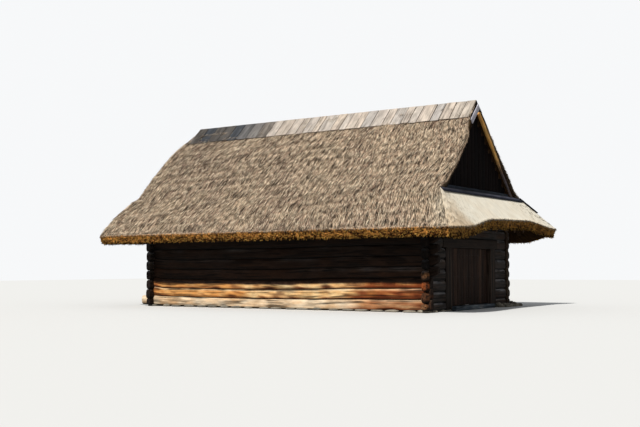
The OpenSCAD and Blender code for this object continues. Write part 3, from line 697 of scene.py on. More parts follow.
def board(corner, across, along, thick, seed, colour, steps, uneven=0.0025, round_edge=0.006):
    """A board from one corner: a ring round its section carried along it. The ring has small
    rounded edges, waves make its faces uneven, and it shrinks to a point on each end. steps is the
    number of faces across it and along it."""
    corner, across, along, thick = (np.asarray(v, float) for v in (corner, across, along, thick))
    w, l, t = (np.linalg.norm(v) for v in (across, along, thick))
    r = min(round_edge, 0.4 * t)
    line_a = np.r_[r * 0.3, np.linspace(r, w - r, steps[0] + 1), w - r * 0.3]
    line_t = np.array([r, t - r])
    ring_a = np.r_[line_a, w, w, line_a[::-1], 0, 0]
    ring_t = np.r_[np.full(len(line_a), 0.0), line_t, np.full(len(line_a), t), line_t[::-1]]
    ring_t[0] = ring_t[len(line_a) - 1] = r * 0.3
    ring_t[len(line_a) + 2] = ring_t[2 * len(line_a) + 1] = t - r * 0.3
    s = np.r_[0.0, 0.0, r * 0.3, r, np.linspace(r, l - r, steps[1] + 1)[1:-1], l - r, l - r * 0.3, l, l]
    shrink = np.ones(len(s))
    shrink[[0, -1]] = 0.0
    shrink[[1, -2]] = 1 - 2 * r / max(w, t)
    mid = np.array([w / 2, t / 2])
    a = mid[0] + (ring_a - mid[0]) * shrink[:, None]
    b = mid[1] + (ring_t - mid[1]) * shrink[:, None]
    points = (corner + a[..., None] * across / w + b[..., None] * thick / t
              + (s[:, None] * np.ones_like(a))[..., None] * along / l)
    away = (np.sign(b - mid[1]) * (shrink > 0)[:, None])[..., None] * thick / t
    points = points + away * (uneven * waves(points + seed, seed, 0.35))[..., None]
    way = np.hypot(np.diff(np.r_[ring_a, ring_a[0]]), np.diff(np.r_[ring_t, ring_t[0]]))
    way = np.r_[0, np.cumsum(way)]
    uv = np.stack(np.broadcast_arrays(s[:, None] + seed * 1.7, way[None, :] + seed * 0.9), -1)
    stain = colour(points) if callable(colour) else linear(colour)
    return grid_part(points, uv, stain)


def frame_colour(points):
    """Dark brown of the door frame, greyer towards the ground. On the jambs a darker band is painted as
    the shade of a groove, which is not cut; they are paler in a strip along the inner edge and a
    stripe further out, and paler still right at the inner edge as a painted highlight."""
    tone = 0.5 + 0.5 * waves(points, 300, 0.9)
    colour = blend_colours(FRAME_BROWN, FRAME_GREY, tone * ease(1.2, 0.2, points[..., 2]))
    inside = np.abs(points[..., 1]) - jamb_inner
    band = ease(0.11, 0.08, inside) + 0.7 * ease(0.20, 0.23, inside) * ease(0.31, 0.27, inside)
    # Darker band: painted shade of a groove that is not cut.
    groove_shade = ease(0.11, 0.14, inside) * ease(0.19, 0.16, inside)
    # Pale strip and stripe along the inner side, and a painted highlight right at the inner edge, fading out
    # towards the top.
    wear_and_painted_highlight = (0.60 * band + 0.8 * ease(0.012, 0.007, inside)) * ease(2.2, 1.9, points[..., 2])
    return linear(blend_colours(colour, FRAME_PALE, wear_and_painted_highlight) * (1 - 0.4 * groove_shade)[..., None])


def box_corners(node):
    """Lowest and highest corner of a node's box."""
    return [np.array(corner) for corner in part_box(node)]


def box_board(node, axis, seed, colour, steps, **more):
    """A board that fills a node's box, with its grain along X, Y or Z."""
    low, high = box_corners(node)
    edges = np.diag(high - low)
    thick, across = (edges[k] for k in range(3) if k != axis)
    return board(low, across, edges[axis], thick, seed, colour, steps, **more)


sawn_wood = hewn_wood_finish("door frame wood", 0.35, 0.8, 0.004, (0.96, 0.87, 0.78))
for node in ("left_door_jamb", "right_door_jamb"):
    add_piece(f"{node}_hewn", [box_board(node, 2, 310 + len(node), frame_colour, (24, 14), uneven=0.004,
                                         round_edge=0.012)],
              [sawn_wood], replaces=[node])
add_piece("door_lintel_hewn", [box_board("door_lintel", 1, 320, frame_colour, (4, 26), uneven=0.004,
                                         round_edge=0.014)],
          [sawn_wood], replaces=["door_lintel"])


def threshold_colour(points):
    """Bluish grey, paler where feet have worn it in the middle."""
    wear_and_painted_highlight = ease(1.6, 0.3, np.abs(points[..., 1])) * 0.5
    tone = wear_and_painted_highlight + 0.3 * waves(points, 331, 0.7) + 0.35 * waves(points * (2, 1, 5), 332, 0.4)
    return linear(blend_colours(THRESHOLD_GREY, THRESHOLD_WORN, tone))


add_piece("door_threshold_worn", [box_board("door_threshold", 1, 330, threshold_colour, (6, 22),
                                            uneven=0.006, round_edge=0.02)],
          [sawn_wood], replaces=["door_threshold"])


# Door leaves: upright planks nailed to three ledges, hung on a round wooden post whose pins turn
# in the threshold and the lintel. The nails are forged, with broad heads.
PLANK_BROWN = (0.165, 0.115, 0.090)
PLANK_LIGHT = (0.31, 0.235, 0.195)
NAIL_IRON = (0.14, 0.12, 0.115)
planks_per_leaf = 7
plank_tones = {-1: (0.9, 0.1, 0.75, 0.25, 0.0, 0.3, 0.1), 1: (0.35, 0.0, 0.85, 0.2, 0.0, 0.3, 0.1)}
ledge_heights = (0.400, 1.120, 1.880)
ledge_w, ledge_t = 0.110, 0.040
plank_t, plank_gap = 0.036, 0.003
post_r, pin_r, pin_l = 0.045, 0.018, 0.040
face_out, ledge_from = 0.029, 0.046
pivot = (6.085, 1.645)


def plank_colour(seed, tone=0.2):
    """One door plank: dark brown, with its own tone and paler worn streaks."""
    return lambda points: linear(blend_colours(PLANK_BROWN, PLANK_LIGHT,
                                               tone + 0.3 * waves(points * (3, 3, 0.5), seed, 0.8)))


def round_post(x, y, levels, radii, seed, colour):
    """A turned post: rings of the given radii at the given heights, closed to a point at its ends."""
    a = np.linspace(0, 2 * math.pi, 20, endpoint=False)
    r = np.asarray(radii)[:, None]
    z = np.asarray(levels)[:, None] * np.ones_like(a)
    points = np.stack([x + r * np.cos(a), y + r * np.sin(a), z], -1)
    uv = np.stack(np.broadcast_arrays(z[:, :1] + seed, np.r_[a, 2 * math.pi][None, :] * post_r), -1)
    return grid_part(points, uv, colour(points))


def nail_part(x, y, z, seed):
    """A forged nail head: a low dome, sin-shaped, seven-sided."""
    a = np.linspace(0, 2 * math.pi, 7, endpoint=False) + seed
    r = np.array([0.0, 0.011, 0.010, 0.0])[:, None]
    out = np.array([-0.004, -0.004, 0.003, 0.006])[:, None]
    points = np.stack([x + out * np.ones_like(a), y + r * np.cos(a), z + r * np.sin(a)], -1)
    return grid_part(points, np.zeros((4, 8, 2)), linear(NAIL_IRON))


def iron_finish():
    """Forged iron: nearly black, mottled by rust."""
    n = Nodes("forged iron")
    at = n.place("Object", (1, 1, 1))
    rust = n.ramp(n.noise(at, 45.0, 4.0), [(0.42, (0.012, 0.011, 0.011)), (0.68, (0.075, 0.032, 0.016))])
    colour = n.times(n.mix(n.stain(), rust, 0.7), n.ramp(n.noise(at, 200.0, 2.0), [(0.3, 0.7), (0.7, 1.3)]))
    return n.finish(colour, n.noise(at, 160.0, 4.0), 0.002, 0.6, 0.5)


door_wood = hewn_wood_finish("door plank wood", 0.45, 0.7, 0.003, (0.96, 0.84, 0.74))
iron = iron_finish()


def leaf_parts(side):
    """Planks, ledges and post of the leaf on that side of the doorway."""
    node = "left_door_leaf" if side < 0 else "right_door_leaf"
    low, high = box_corners(node)
    z0, z1 = low[2] + pin_l, high[2] - pin_l
    face = pivot[0] + face_out
    edges = np.linspace(abs(pivot[1]), 0.006, planks_per_leaf + 1)
    rng = np.random.default_rng(340 + side)
    edges[1:-1] += rng.uniform(-0.02, 0.02, planks_per_leaf - 1)
    parts, nails = [], []
    for k in range(planks_per_leaf):
        a, b = edges[k + 1] + plank_gap, edges[k] - plank_gap
        thick = plank_t - rng.uniform(0, 0.006)
        foot = z0 + rng.uniform(0, 0.012)
        seed = 350 + k + 20 * side
        parts.append(board((face - plank_t, side * a, foot), (0, side * (b - a), 0),
                           (0, 0, z1 - foot - rng.uniform(0, 0.008)), (thick, 0, 0), seed,
                           plank_colour(seed, plank_tones[side][k]), (3, 16), 0.0016, 0.004))
        for z in ledge_heights:
            for f in (0.3, 0.7):
                nails.append(nail_part(face, side * (a + (b - a) * f), z + ledge_w * rng.uniform(0.35, 0.65),
                                       rng.uniform(0, 1)))
    for z in ledge_heights:
        parts.append(board((face - plank_t - ledge_t, side * ledge_from, z), (0, 0, ledge_w),
                           (0, side * (pivot[1] - ledge_from), 0), (ledge_t, 0, 0), 380 + int(z * 10),
                           plank_colour(380), (2, 12), 0.002, 0.006))
    levels = [low[2], low[2], z0 - 0.002, z0, z0 + 0.01, z0 + 0.5, z0 + 1.0, z0 + 1.5, z1 - 0.01, z1,
              z1 + 0.002, high[2], high[2]]
    radii = [0, pin_r, pin_r, post_r - 0.004, post_r, post_r, post_r, post_r, post_r, post_r - 0.004,
             pin_r, pin_r, 0]
    parts.append(round_post(pivot[0], side * pivot[1], levels, radii, 390, plank_colour(391)))
    return parts, nails


for side, word in ((-1, "left"), (1, "right")):
    planks, nails = leaf_parts(side)
    add_piece(f"{word}_leaf_planks", planks, [door_wood], f"{word}_leaf",
              [f"{word}_door_leaf"])
    add_piece(f"{word}_leaf_nails", nails, [iron], f"{word}_leaf")


# Roof frame: hewn wall plates and tie beams, peeled pole rafters, split battens. It keeps the
# solids of the frame, with the grain along each timber.
TIMBER_BROWN = (0.30, 0.225, 0.16)
BATTEN_BROWN = (0.27, 0.20, 0.14)
PLATE_BROWN = (0.20, 0.145, 0.11)
front_rise, rear_rise = 0.98, 0.935
skirt_slope = math.radians(51)


def timber_finish(name, colour, turn, stretch):
    """Sawn or peeled timber with its fibres along one direction: noise in coordinates turned to
    the timber and stretched along it."""
    n = Nodes(name)
    fibre = n.noise(n.place("Object", stretch, turn), 1.0, 5.0, 0.65, 0.2)
    patch = n.noise(n.place("Object", (1, 1, 1)), 1.6, 3.0)
    shade = n.times((*linear(colour), 1.0), n.ramp(fibre, [(0.3, 0.55), (0.7, 1.25)]),
                    n.ramp(patch, [(0.3, 0.7), (0.7, 1.2)]))
    return n.finish(shade, fibre, 0.004, 0.85)


ALONG_X, ALONG_Y, EVENLY = (2.0, 45, 45), (45, 2.0, 45), (20, 20, 20)
timber_of = {node: timber_finish(f"{words} wood", colour, turn, stretch)
             for node, words, colour, turn, stretch in (
    ("front_wall_plate", "plate", PLATE_BROWN, (0, 0, 0), ALONG_X),
    ("tie_beams", "tie beam", PLATE_BROWN, (0, 0, 0), ALONG_Y),
    ("collar_ties", "collar", TIMBER_BROWN, (0, 0, 0), ALONG_Y),
    ("front_rafters", "front rafter", TIMBER_BROWN, (-math.atan(front_rise), 0, 0), ALONG_Y),
    ("rear_rafters", "rear rafter", TIMBER_BROWN, (math.atan(rear_rise), 0, 0), ALONG_Y),
    ("hip_rafters", "hip", TIMBER_BROWN, (0, 0, 0), EVENLY),
    ("right_skirt_rafters", "right skirt", TIMBER_BROWN, (0, -skirt_slope, 0), ALONG_X),
    ("left_skirt_rafters", "left skirt", TIMBER_BROWN, (0, skirt_slope, 0), ALONG_X),
    ("front_battens", "batten", BATTEN_BROWN, (0, 0, 0), ALONG_X),
    ("right_skirt_battens", "skirt batten", BATTEN_BROWN, (0, 0, 0), ALONG_Y))}
for node, like in (("rear_wall_plate", "front_wall_plate"), ("rear_battens", "front_battens"),
                   ("left_skirt_battens", "right_skirt_battens"), ("left_gable_top_logs", "tie_beams"),
                   ("right_gable_top_logs", "tie_beams")):
    timber_of[node] = timber_of[like]
for name, finish in timber_of.items():
    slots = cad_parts[name].data.materials
    slots.clear()
    slots.append(finish)


# Thatch of the long slopes: bundles of straw tied to the battens in courses, about 35 cm thick,
# weathered grey-brown outside and cut square at the eave, where the ends stay golden.
STRAW_GREY = (0.755, 0.645, 0.548)
STRAW_DARK = (0.475, 0.380, 0.328)
STRAW_LIGHT = (0.860, 0.765, 0.640)
STRAW_TIP = (0.980, 0.910, 0.800)
STRAW_GOLD = (1.00, 0.70, 0.36)
STRAW_CUT_DARK = (0.33, 0.18, 0.09)
STRAW_CUT_TIP = (1.000, 0.800, 0.420)
HIP_CREAM = (0.820, 0.780, 0.700)
STRAW_SOFFIT = (0.270, 0.195, 0.120)
thatch_t = 0.348
straw_out = 0.025
ridge_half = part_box("front_ridge_boards")[1].x
ridge_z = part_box("front_thatch")[1].z
cover_y = -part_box("front_ridge_boards")[0].y - 0.070
eave_y = -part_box("front_thatch")[0].y - straw_out
skirt_eave_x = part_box("right_skirt_thatch")[1].x - straw_out
gable_board_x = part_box("right_gable_boards")[1].x
skirt_in_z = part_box("right_gable_boards")[0].z
gable_foot_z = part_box("right_skirt_planks")[0].z + 0.124
verge_x = 6.680
butt_in = 0.170
corner_rx, corner_ry = 0.240, 0.290
worn_rx, worn_ry = 0.620, 0.760
rear_rx, rear_ry = 0.090, 0.110
left_swell = 0.580
rear_droop_out, rear_droop_in = 0.100, 0.210
droop_full, droop_ends = 6.500, 7.400
box_margin = 0.002
straw_low, straw_high = np.array(cad_box[0]) + box_margin, np.array(cad_box[1]) - box_margin
top_corner_w = 0.070
upper_part = 0.69
verge_bulge, verge_round = 0.130, 0.150
edge_r = 0.020
eave_thinning, cut_lean = 0.26, 0.05
verge_straw_count = 450
CUT_LEVELS = (0.03, 0.17, 0.31, 0.45, 0.59, 0.73, 0.87, 0.98)
# Levels across a verge's edge and the dimming of their wisps: painted shade under the verge.
VERGE_LEVELS = ((0.0, 1.0), (0.15, 0.75), (0.35, 0.55), (0.6, 0.5), (0.85, 0.45))
RISES = {-1: front_rise, 1: rear_rise}


def mix(a, b, t):
    """Straight line from a to b."""
    return a + (b - a) * t


def upright(t, rise):
    """Height that a layer of thickness t takes on a slope."""
    return t * math.sqrt(1 + rise * rise)


def slope_z(side, y, inner):
    """Height of a long slope's outer or inner face at a distance y from the ridge."""
    rise = RISES[side]
    return ridge_z - rise * y - (upright(thatch_t, rise) if inner else 0.0)


def foot_y(side, inner):
    """Distance from the ridge at which the slope reaches the gable's foot."""
    level = skirt_in_z if inner else gable_foot_z
    return (slope_z(side, 0.0, inner) - level) / RISES[side]


def long_edge_z(side, inner):
    """Height of an edge of the cut face along a long eave."""
    return slope_z(side, eave_y - (butt_in if inner else 0.0), inner)


def skirt_edge_z(y, inner):
    """Height of an edge of the cut face along a skirt's eave: a line from the front to the rear."""
    return mix(long_edge_z(-1, inner), long_edge_z(1, inner), (y + eave_y) / (2 * eave_y))


def corner_size(end, side):
    """Radii of an eave corner along the building and across it: the one beside the door is worn
    round, the others are fuller."""
    if side > 0:
        return rear_rx, rear_ry
    return (worn_rx, worn_ry) if end > 0 else (corner_rx, corner_ry)


def corner_y(end, side):
    """Distance from the ridge at which the skirt's straight eave ends."""
    return eave_y - corner_size(end, side)[1]


def eave_corner(end, side, turn, inner):
    """A point of the rounded eave corner: a quarter ellipse in plan, from the long side (0) to the
    skirt's side (1)."""
    a = math.pi / 2 * turn
    rx, ry = corner_size(end, side)
    inset = butt_in if inner else 0.0
    z = mix(long_edge_z(side, inner), skirt_edge_z(side * (eave_y - ry), inner), turn * turn)
    return np.array([end * (skirt_eave_x - rx + (rx - inset) * math.sin(a)),
                     side * (eave_y - ry + (ry - inset) * math.cos(a)), z])


def swell_at(end, y, inner):
    """How far the thatch swells out past the front left verge and hip, at y along the gable."""
    return left_swell * ease(-1.0, -3.2, y) * (end < 0 and not inner)


def slope_column(end, side, k, inner, v):
    """One column down a slope at its corner: from the ridge along the verge to the gable's foot,
    and then along the fan of lines from there to the rounded eave corner."""
    back = top_corner_w * (1 - k)
    fy = foot_y(side, inner)
    swell = swell_at(end, side * fy, inner)
    foot = np.array([end * ((gable_board_x if inner else verge_x) + swell - back), side * fy,
                     skirt_in_z if inner else gable_foot_z])
    eave = eave_corner(end, side, k / 2, inner)
    u = np.clip(v / upper_part, 0, 1)
    s = np.clip((v - upper_part) / (1 - upper_part), 0, 1)[:, None]
    fluff = verge_bulge * ease(0.22, 0.42, u) * (1 - ease(0.66, 1.0, u)) * (side < 0 and not inner)
    fluff = fluff + swell * ease(-0.05, 0.42, u)
    bow = np.zeros((len(v), 3))
    bow[:, :1] = end * swell * s * (1 - s)
    high = np.stack([end * (mix(ridge_half, verge_x, u) + fluff - back), side * u * fy,
                     slope_z(side, u * fy, inner)], -1)
    return np.where((v <= upper_part)[:, None], high, mix(foot, eave, s) + bow)


def slope_sheet(side, inner, v, straight, corner):
    """Grid of a long slope's face: columns from the left hip to the right one, rows at v."""
    ks = np.linspace(1, 0, corner)
    left = [slope_column(-1, side, k, inner, v) for k in ks]
    right = [slope_column(1, side, k, inner, v) for k in ks[::-1]]
    t = np.linspace(0, 1, straight + 2)[1:-1, None, None]
    return np.concatenate([np.array(left), mix(left[-1][None], right[0][None], t), np.array(right)])


def normals_of(sheet):
    """Unit normals of a grid of points, turned upwards: the cross product of its two slopes."""
    n = unit(np.cross(np.gradient(sheet, axis=0), np.gradient(sheet, axis=1)))
    return n * np.where(n[..., 2:] < 0, -1.0, 1.0)


def thatch_relief(points):
    """Unevenness of a thatched face: slow sags, the courses of bundles, and tufts."""
    return (0.018 * waves(points, 401, 2.6) + 0.010 * waves(points * (1, 1, 2.2), 402, 0.75)
            + 0.009 * waves(points * (1.6, 0.7, 0.7), 403, 0.22))


def ragged(points):
    """Unevenness of a cut edge, in metres: bundles that stand out, and single wisps."""
    return 0.016 * waves(points * (1, 1, 0.3), 405, 0.30) + 0.010 * waves(points * (1, 1, 0.3), 406, 0.11)


def straw_colour(points):
    """Weathered straw: grey-brown, browner and darker towards the upper left, partly weathering and
    partly painted shadow of trees, a little darker at the lower right as painted tree shadow, with
    streaks and patches that run down the slope, and cream along the front right hip."""
    x, z = points[..., 0], points[..., 2]
    # Darker upper left: partly weathering, partly painted tree shadow; darker lower right: painted tree
    # shadow.
    left = ease(1.5, -5.5, x) * ease(3.4, 6.0, z)
    low_right = ease(2.0, 6.0, x) * ease(4.4, 3.0, z)
    streak = waves(points * (1.0, 0.22, 0.22), 411, 0.42)
    fine = waves(points * (1.0, 0.25, 0.25), 414, 0.17)
    patch = waves(points * (0.6, 0.3, 0.3), 412, 1.1)
    bundle = waves(points * (1.0, 0.5, 0.5), 415, 0.55)
    dark = 0.10 + 0.20 * patch + 0.24 * streak + 0.20 * fine + 0.14 * bundle + 0.40 * left + 0.10 * low_right
    colour = blend_colours(STRAW_GREY, STRAW_DARK, dark)
    colour = blend_colours(colour, STRAW_LIGHT, 0.30 * waves(points * (1, 0.4, 0.4), 413, 0.8) + 0.20)
    reach = np.clip((gable_foot_z - z) / (gable_foot_z - 2.8), 0, 1)
    near_hip = ease(0.60, 0.0, mix(verge_x, skirt_eave_x - 0.35, reach) - x) * ease(0.02, 0.3, reach)
    near_hip = near_hip * (1 - 0.6 * ease(0.55, 0.95, reach)) * (points[..., 1] < 0)
    return blend_colours(colour, HIP_CREAM, 0.75 * near_hip)


def under_straw_colour(points):
    """The same straw between the wisps, darker as painted shade where less light gets in, and painted
    black shade under the ridge boards, which shows in the gaps between them.
    """
    covered = ease(cover_y, cover_y - 0.04, np.abs(points[..., 1]))
    return straw_colour(points) * (0.90 - 0.76 * covered)[..., None]


def closed_ring(outer, inner, cut_rows, bulge):
    """Rings round a layer of thatch, one for each column: down the outer face, round the cut face
    in cut_rows steps that bulge by a sine, and back up the inner face."""
    t = np.linspace(0, 1, cut_rows + 2)[None, 1:-1, None]
    a, b = outer[:, -1:], inner[:, -1:]
    down = unit(outer[:, -1:] - outer[:, -2:-1])
    face = mix(a, b, t) + down * (np.sin(math.pi * t) ** 0.6 * bulge)
    return np.concatenate([outer, face, inner[:, ::-1]], 1)


def thatch_part(outer, inner, cut_rows, colour_of, cut_colour, end_bulge, end_limit, u, v):
    """A closed layer between two sheets. At both ends the rings sink into the middle of the layer,
    pushed outwards by end_bulge on rows above end_limit, so that the verge is round."""
    rows = outer.shape[1]
    ring = closed_ring(outer, inner, cut_rows, 0.012)
    count = ring.shape[1]
    mid = (ring + ring[:, ::-1]) / 2
    phis = np.linspace(0, math.pi / 2, 5)[1:, None, None]
    near = np.minimum(np.arange(count), np.arange(count)[::-1])
    push = np.where(near < end_limit, end_bulge, 0.0)[:, None] * np.array([1.0, 0, 0])

    def end_rings(j):
        """Rings that close the end at column j: middle + half ring * cos phi + push * sin phi."""
        out = push * np.sign(ring[j, 0, 0])
        return mid[j] + (ring[j] - mid[j]) * np.cos(phis) + out * np.sin(phis)

    full = np.concatenate([end_rings(0)[::-1], ring, end_rings(-1)])
    kinds = np.zeros((count,), int)
    kinds[rows - 1:rows + cut_rows] = 1
    kinds[rows + cut_rows:] = 2
    extra = len(phis)
    uu = np.r_[u[0] - 0.1 * np.arange(extra, 0, -1), u, u[-1] + 0.1 * np.arange(1, extra + 1)]
    vv = np.r_[v, v[-1] + 0.06 * np.arange(1, cut_rows + 1), v[-1] + 0.4 + v[-1] - v[::-1]]
    vv = np.r_[vv, vv[-1] + 0.35]
    uv = np.stack(np.broadcast_arrays(uu[:, None], vv[None, :]), -1)
    stain = linear(colour_of(full))
    cut = slice(rows - 1, rows + cut_rows)
    stain[:, cut] = linear(cut_colour(full[:, cut]))
    stain[:, rows + cut_rows:] = linear(STRAW_SOFFIT)
    # The rings that close the ends are the verge's cut face, darkened as painted shade.
    if end_bulge:
        stain[:extra] *= (0.50, 0.45, 0.32)
        stain[-extra:] *= (0.50, 0.45, 0.32)
    return grid_part(full, uv, stain, np.broadcast_to(kinds, (len(full) - 1, count)))


def cut_colour(points):
    """Cut straw ends: golden and dark brown in patches, duller towards the right."""
    patch = 0.10 + 0.70 * waves(points, 421, 0.42) + 0.75 * waves(points, 422, 0.12)
    return blend_colours(STRAW_GOLD, STRAW_CUT_DARK, patch + 0.25 * ease(-4.5, 1.5, points[..., 0]))


def straw_finish(name, across=42.0, along=4.0, low=0.56, high=1.38, tufted=0.36, relief=0.010):
    """Straw seen from the side: fine strands, streaks of bundles a few cm wide, and dark slits
    between them as painted shade, in coordinates stretched down the slope, over the points' own colour."""
    n = Nodes(name)
    strand = n.grain((across, along), 4.0, 0.6, 0.3)
    tuft = n.grain((across * 0.38, along * 0.6), 2.0, 0.5, 0.3)
    fine = n.grain((across * 4, along * 1.6), 2.0)
    slit = n.grain((across * 0.9, along * 0.55), 1.0)
    # The slit ramp darkens the gaps between bundles: painted shade.
    colour = n.times(n.stain(), n.ramp(strand, [(0.32, low), (0.68, high)]),
                     n.ramp(tuft, [(0.34, 1 - tufted), (0.66, 1 + tufted)]),
                     n.ramp(fine, [(0.3, 1 - 0.5 * tufted), (0.7, 1 + 0.5 * tufted)]),
                     n.ramp(slit, [(0.34, 1 - tufted), (0.42, 1.0)]))
    height = n.sum(n.sum(strand, tuft, "ADD"), n.sum(fine, 0.3, "MULTIPLY"), "ADD")
    return n.finish(colour, height, relief, 0.9, 0.04)


def cut_straw_finish():
    """Cut ends of straw: small cells, each stalk end with its own tone, dark between them as painted
    shade, and larger ones for the bundles, which stand in relief."""
    n = Nodes("cut straw ends")
    at = n.place("Object", (1, 1, 1))

    def cells(scale, channel):
        """How near a cell's middle is, and the cell's own random value."""
        node = n.add("ShaderNodeTexVoronoi", {"Vector": at, "Scale": scale})
        own = n.add("ShaderNodeSeparateColor", {"Color": node.outputs["Color"]})
        return node.outputs["Distance"], own.outputs[channel]

    near, tone = cells(60.0, "Red")
    bundle_near, bundle_tone = cells(12.0, "Green")
    # Painted shade between the stalk ends.
    hole = n.ramp(near, [(0.25, 1.0), (0.6, 0.45)])
    colour = n.times(n.stain(), n.ramp(tone, [(0.1, 0.45), (0.9, 1.5)]),
                     n.ramp(bundle_tone, [(0.1, 0.25), (0.9, 1.9)]), hole)
    height = n.sum(n.sum(hole, 0.3, "MULTIPLY"), n.sum(bundle_near, 1.5, "MULTIPLY"), "SUBTRACT")
    return n.finish(colour, height, 0.04, 0.85)


straw_wood = straw_finish("weathered straw")
cut_straw = cut_straw_finish()
soffit_straw = straw_finish("straw underside", 42.0, 5.0, 0.5, 1.3, 0.3, 0.01)
straw_finishes = [straw_wood, cut_straw, soffit_straw]


def toned(colour, tone, tip):
    """Colours of single wisps: below 0 the tone darkens them, above it they turn to clean straw,
    both by the exponential of the tone."""
    dimmed = colour * np.exp(np.minimum(tone, 0))[:, None]
    return blend_colours(dimmed, tip, 1 - np.exp(-np.maximum(tone, 0)))


def straws(origin, along, side_way, out, length, width, colour, ridge=0.35):
    """Closed spikes, one for each row of origin: a triangle of that width sunk in the surface, whose
    third point stands out by ridge of the width, and a tip at the far end, origin + along * length.
    They are kept inside the box of the solids."""
    width = width[:, None]
    a = origin + side_way * width / 2
    b = origin - side_way * width / 2
    c = origin + out * width * ridge
    tip = origin + along * length[:, None]
    points = np.clip(np.stack([a, b, c, tip], 1), straw_low, straw_high).reshape(-1, 3)
    base = np.arange(len(origin))[:, None] * 4
    tris = np.concatenate([base + [0, 3, 1], base + [1, 3, 2], base + [2, 3, 0], base + [0, 1, 2]], 1)
    return points, tris.reshape(-1, 3), np.repeat(colour, 4, 0)


def add_straws(name, groups):
    """Joins groups of spikes into one mesh with a colour for each spike."""
    points, tris, stain = joined(groups)
    mesh = mesh_of(name, points, tris, linear(stain))
    mesh.update(calc_edges=True)
    place_mesh(name, mesh, [loose_straw], "building")


def loose_straw_finish():
    """Single stalks: each has its own tone, with pale and dark joints along it."""
    n = Nodes("loose straw")
    joint = n.noise(n.place("Object", (1, 1, 1)), 28.0, 2.0)
    return n.finish(n.times(n.stain(), n.ramp(joint, [(0.3, 0.75), (0.7, 1.2)])), joint, 0.002, 0.9, 0.04)


loose_straw = loose_straw_finish()


def surface_straws(sheet, count, seed, tone_of, tip, length=(0.20, 0.48), width=(0.014, 0.030), lift=0.045,
                   contrast=1.80, ridge=0.40, bias=0.20, weight=1.0):
    """Wisps scattered over a sheet of points, each a few stalks that lie together. Neighbours share
    part of their tone and their turn across the slope, and weight says how many a column gets. None
    reaches past the eave by more than 3 cm."""
    rng = np.random.default_rng(seed)
    rows = sheet.shape[1]
    edge_a, edge_b = sheet[1:, :-1] - sheet[:-1, :-1], sheet[:-1, 1:] - sheet[:-1, :-1]
    area = np.linalg.norm(np.cross(edge_a, edge_b), axis=-1) * weight
    cell = rng.choice(area.size, count, p=(area / area.sum()).ravel())
    fu, fv = rng.uniform(0, 1, (2, count, 1))
    i, j = cell // (rows - 1), cell % (rows - 1)
    p00, p10, p01, p11 = sheet[i, j], sheet[i + 1, j], sheet[i, j + 1], sheet[i + 1, j + 1]
    down = unit(mix(p01, p11, fu) - mix(p00, p10, fu))
    across = unit(mix(p10, p11, fv) - mix(p00, p01, fv))
    out = unit(np.cross(across, down))
    out *= np.where(out[:, 2:] < 0, -1.0, 1.0)
    origin = mix(mix(p00, p10, fu), mix(p01, p11, fu), fv)
    bent = origin * (1, 0.16, 0.16) + 0.10 * waves(origin, seed + 8, 1.2)[:, None] * (1, 0, 0)
    clump = waves(bent, seed + 7, 0.08)
    turn = 0.12 * waves(origin, seed + 8, 0.6)[:, None] + rng.normal(0, 0.06, (count, 1))
    along = unit(down + across * turn + out * np.abs(rng.normal(0, lift, (count, 1))))
    left = np.linalg.norm(mix(sheet[i, -1], sheet[i + 1, -1], fu) - origin, axis=-1)
    size = np.minimum(rng.uniform(*length, count), left + rng.uniform(0, 0.03, count))
    tone = contrast * (0.45 * clump + rng.normal(bias, 0.9, count))
    return straws(origin - out * 0.004, along, across, out, size, rng.uniform(*width, count),
                  toned(tone_of(origin), tone, tip), ridge)


def run_length(line):
    """Length along a line of points, from its first one to each."""
    return np.cumsum(np.r_[0, np.linalg.norm(np.diff(line, axis=0), axis=-1)])


def edge_straws(edge, run, out, count, seed, tone_of, tip, length, spread, width, contrast=0.28,
                clump=0.0):
    """Spikes along a line of points: they point along run, scattered by spread, and start a
    little inside the edge. edge, run and out hold one vector for each point of the line, and
    clump says how much of their tone neighbours share."""
    rng = np.random.default_rng(seed)
    way = run_length(edge)
    at = rng.uniform(0, way[-1], count)

    def pick(values):
        """Values at the drawn places along the line."""
        return np.stack([np.interp(at, way, values[:, k]) for k in range(3)], -1)

    start, ahead, off = pick(edge), pick(run), pick(out)
    side_way = unit(np.cross(ahead, off))
    along = ahead + side_way * rng.normal(0, spread, (count, 1))
    along = unit(along + off * rng.normal(0, spread * 0.5, (count, 1)))
    size = rng.uniform(*length, count)
    tone = rng.normal(0, contrast, count) + clump * waves(start, seed + 3, 0.10)
    return straws(start, along, side_way, off, size, rng.uniform(*width, count),
                  toned(tone_of(start), tone, tip))


straight_cols = {-1: 160, 1: 80}
corner_cols, thatch_rows, cut_rows = 20, 84, 6
row_v = np.unique(np.r_[np.linspace(0, 0.93, thatch_rows - 8), np.linspace(0.94, 1.0, 9)[1:]])


def round_eave(v, radius_share=0.02):
    """How far the outer face has dropped at row v, as a share of the edge's radius: a quarter
    circle over the last rows."""
    t = np.clip((v - (1 - radius_share)) / radius_share, 0, 1)
    return 1 - np.sqrt(np.maximum(0.0, 1 - t * t))


def round_verge(outer, n):
    """Bends the outer face down towards both verges as a quarter circle, which is small under the
    ridge boards and fades out at the gable's foot."""
    x, y = np.abs(outer[..., 0]), np.abs(outer[..., 1])
    edge = np.abs(outer[[0, -1], :, 0]).min(0)
    radius = mix(0.03, verge_round, ease(0.85, 1.5, y)) * (1 - ease(0.9, 1.0, row_v / upper_part))
    t = np.clip(1 - (edge - x) / np.maximum(radius, 1e-6), 0, 1)
    return outer - n * (radius * (1 - np.sqrt(1 - t * t)))[..., None]


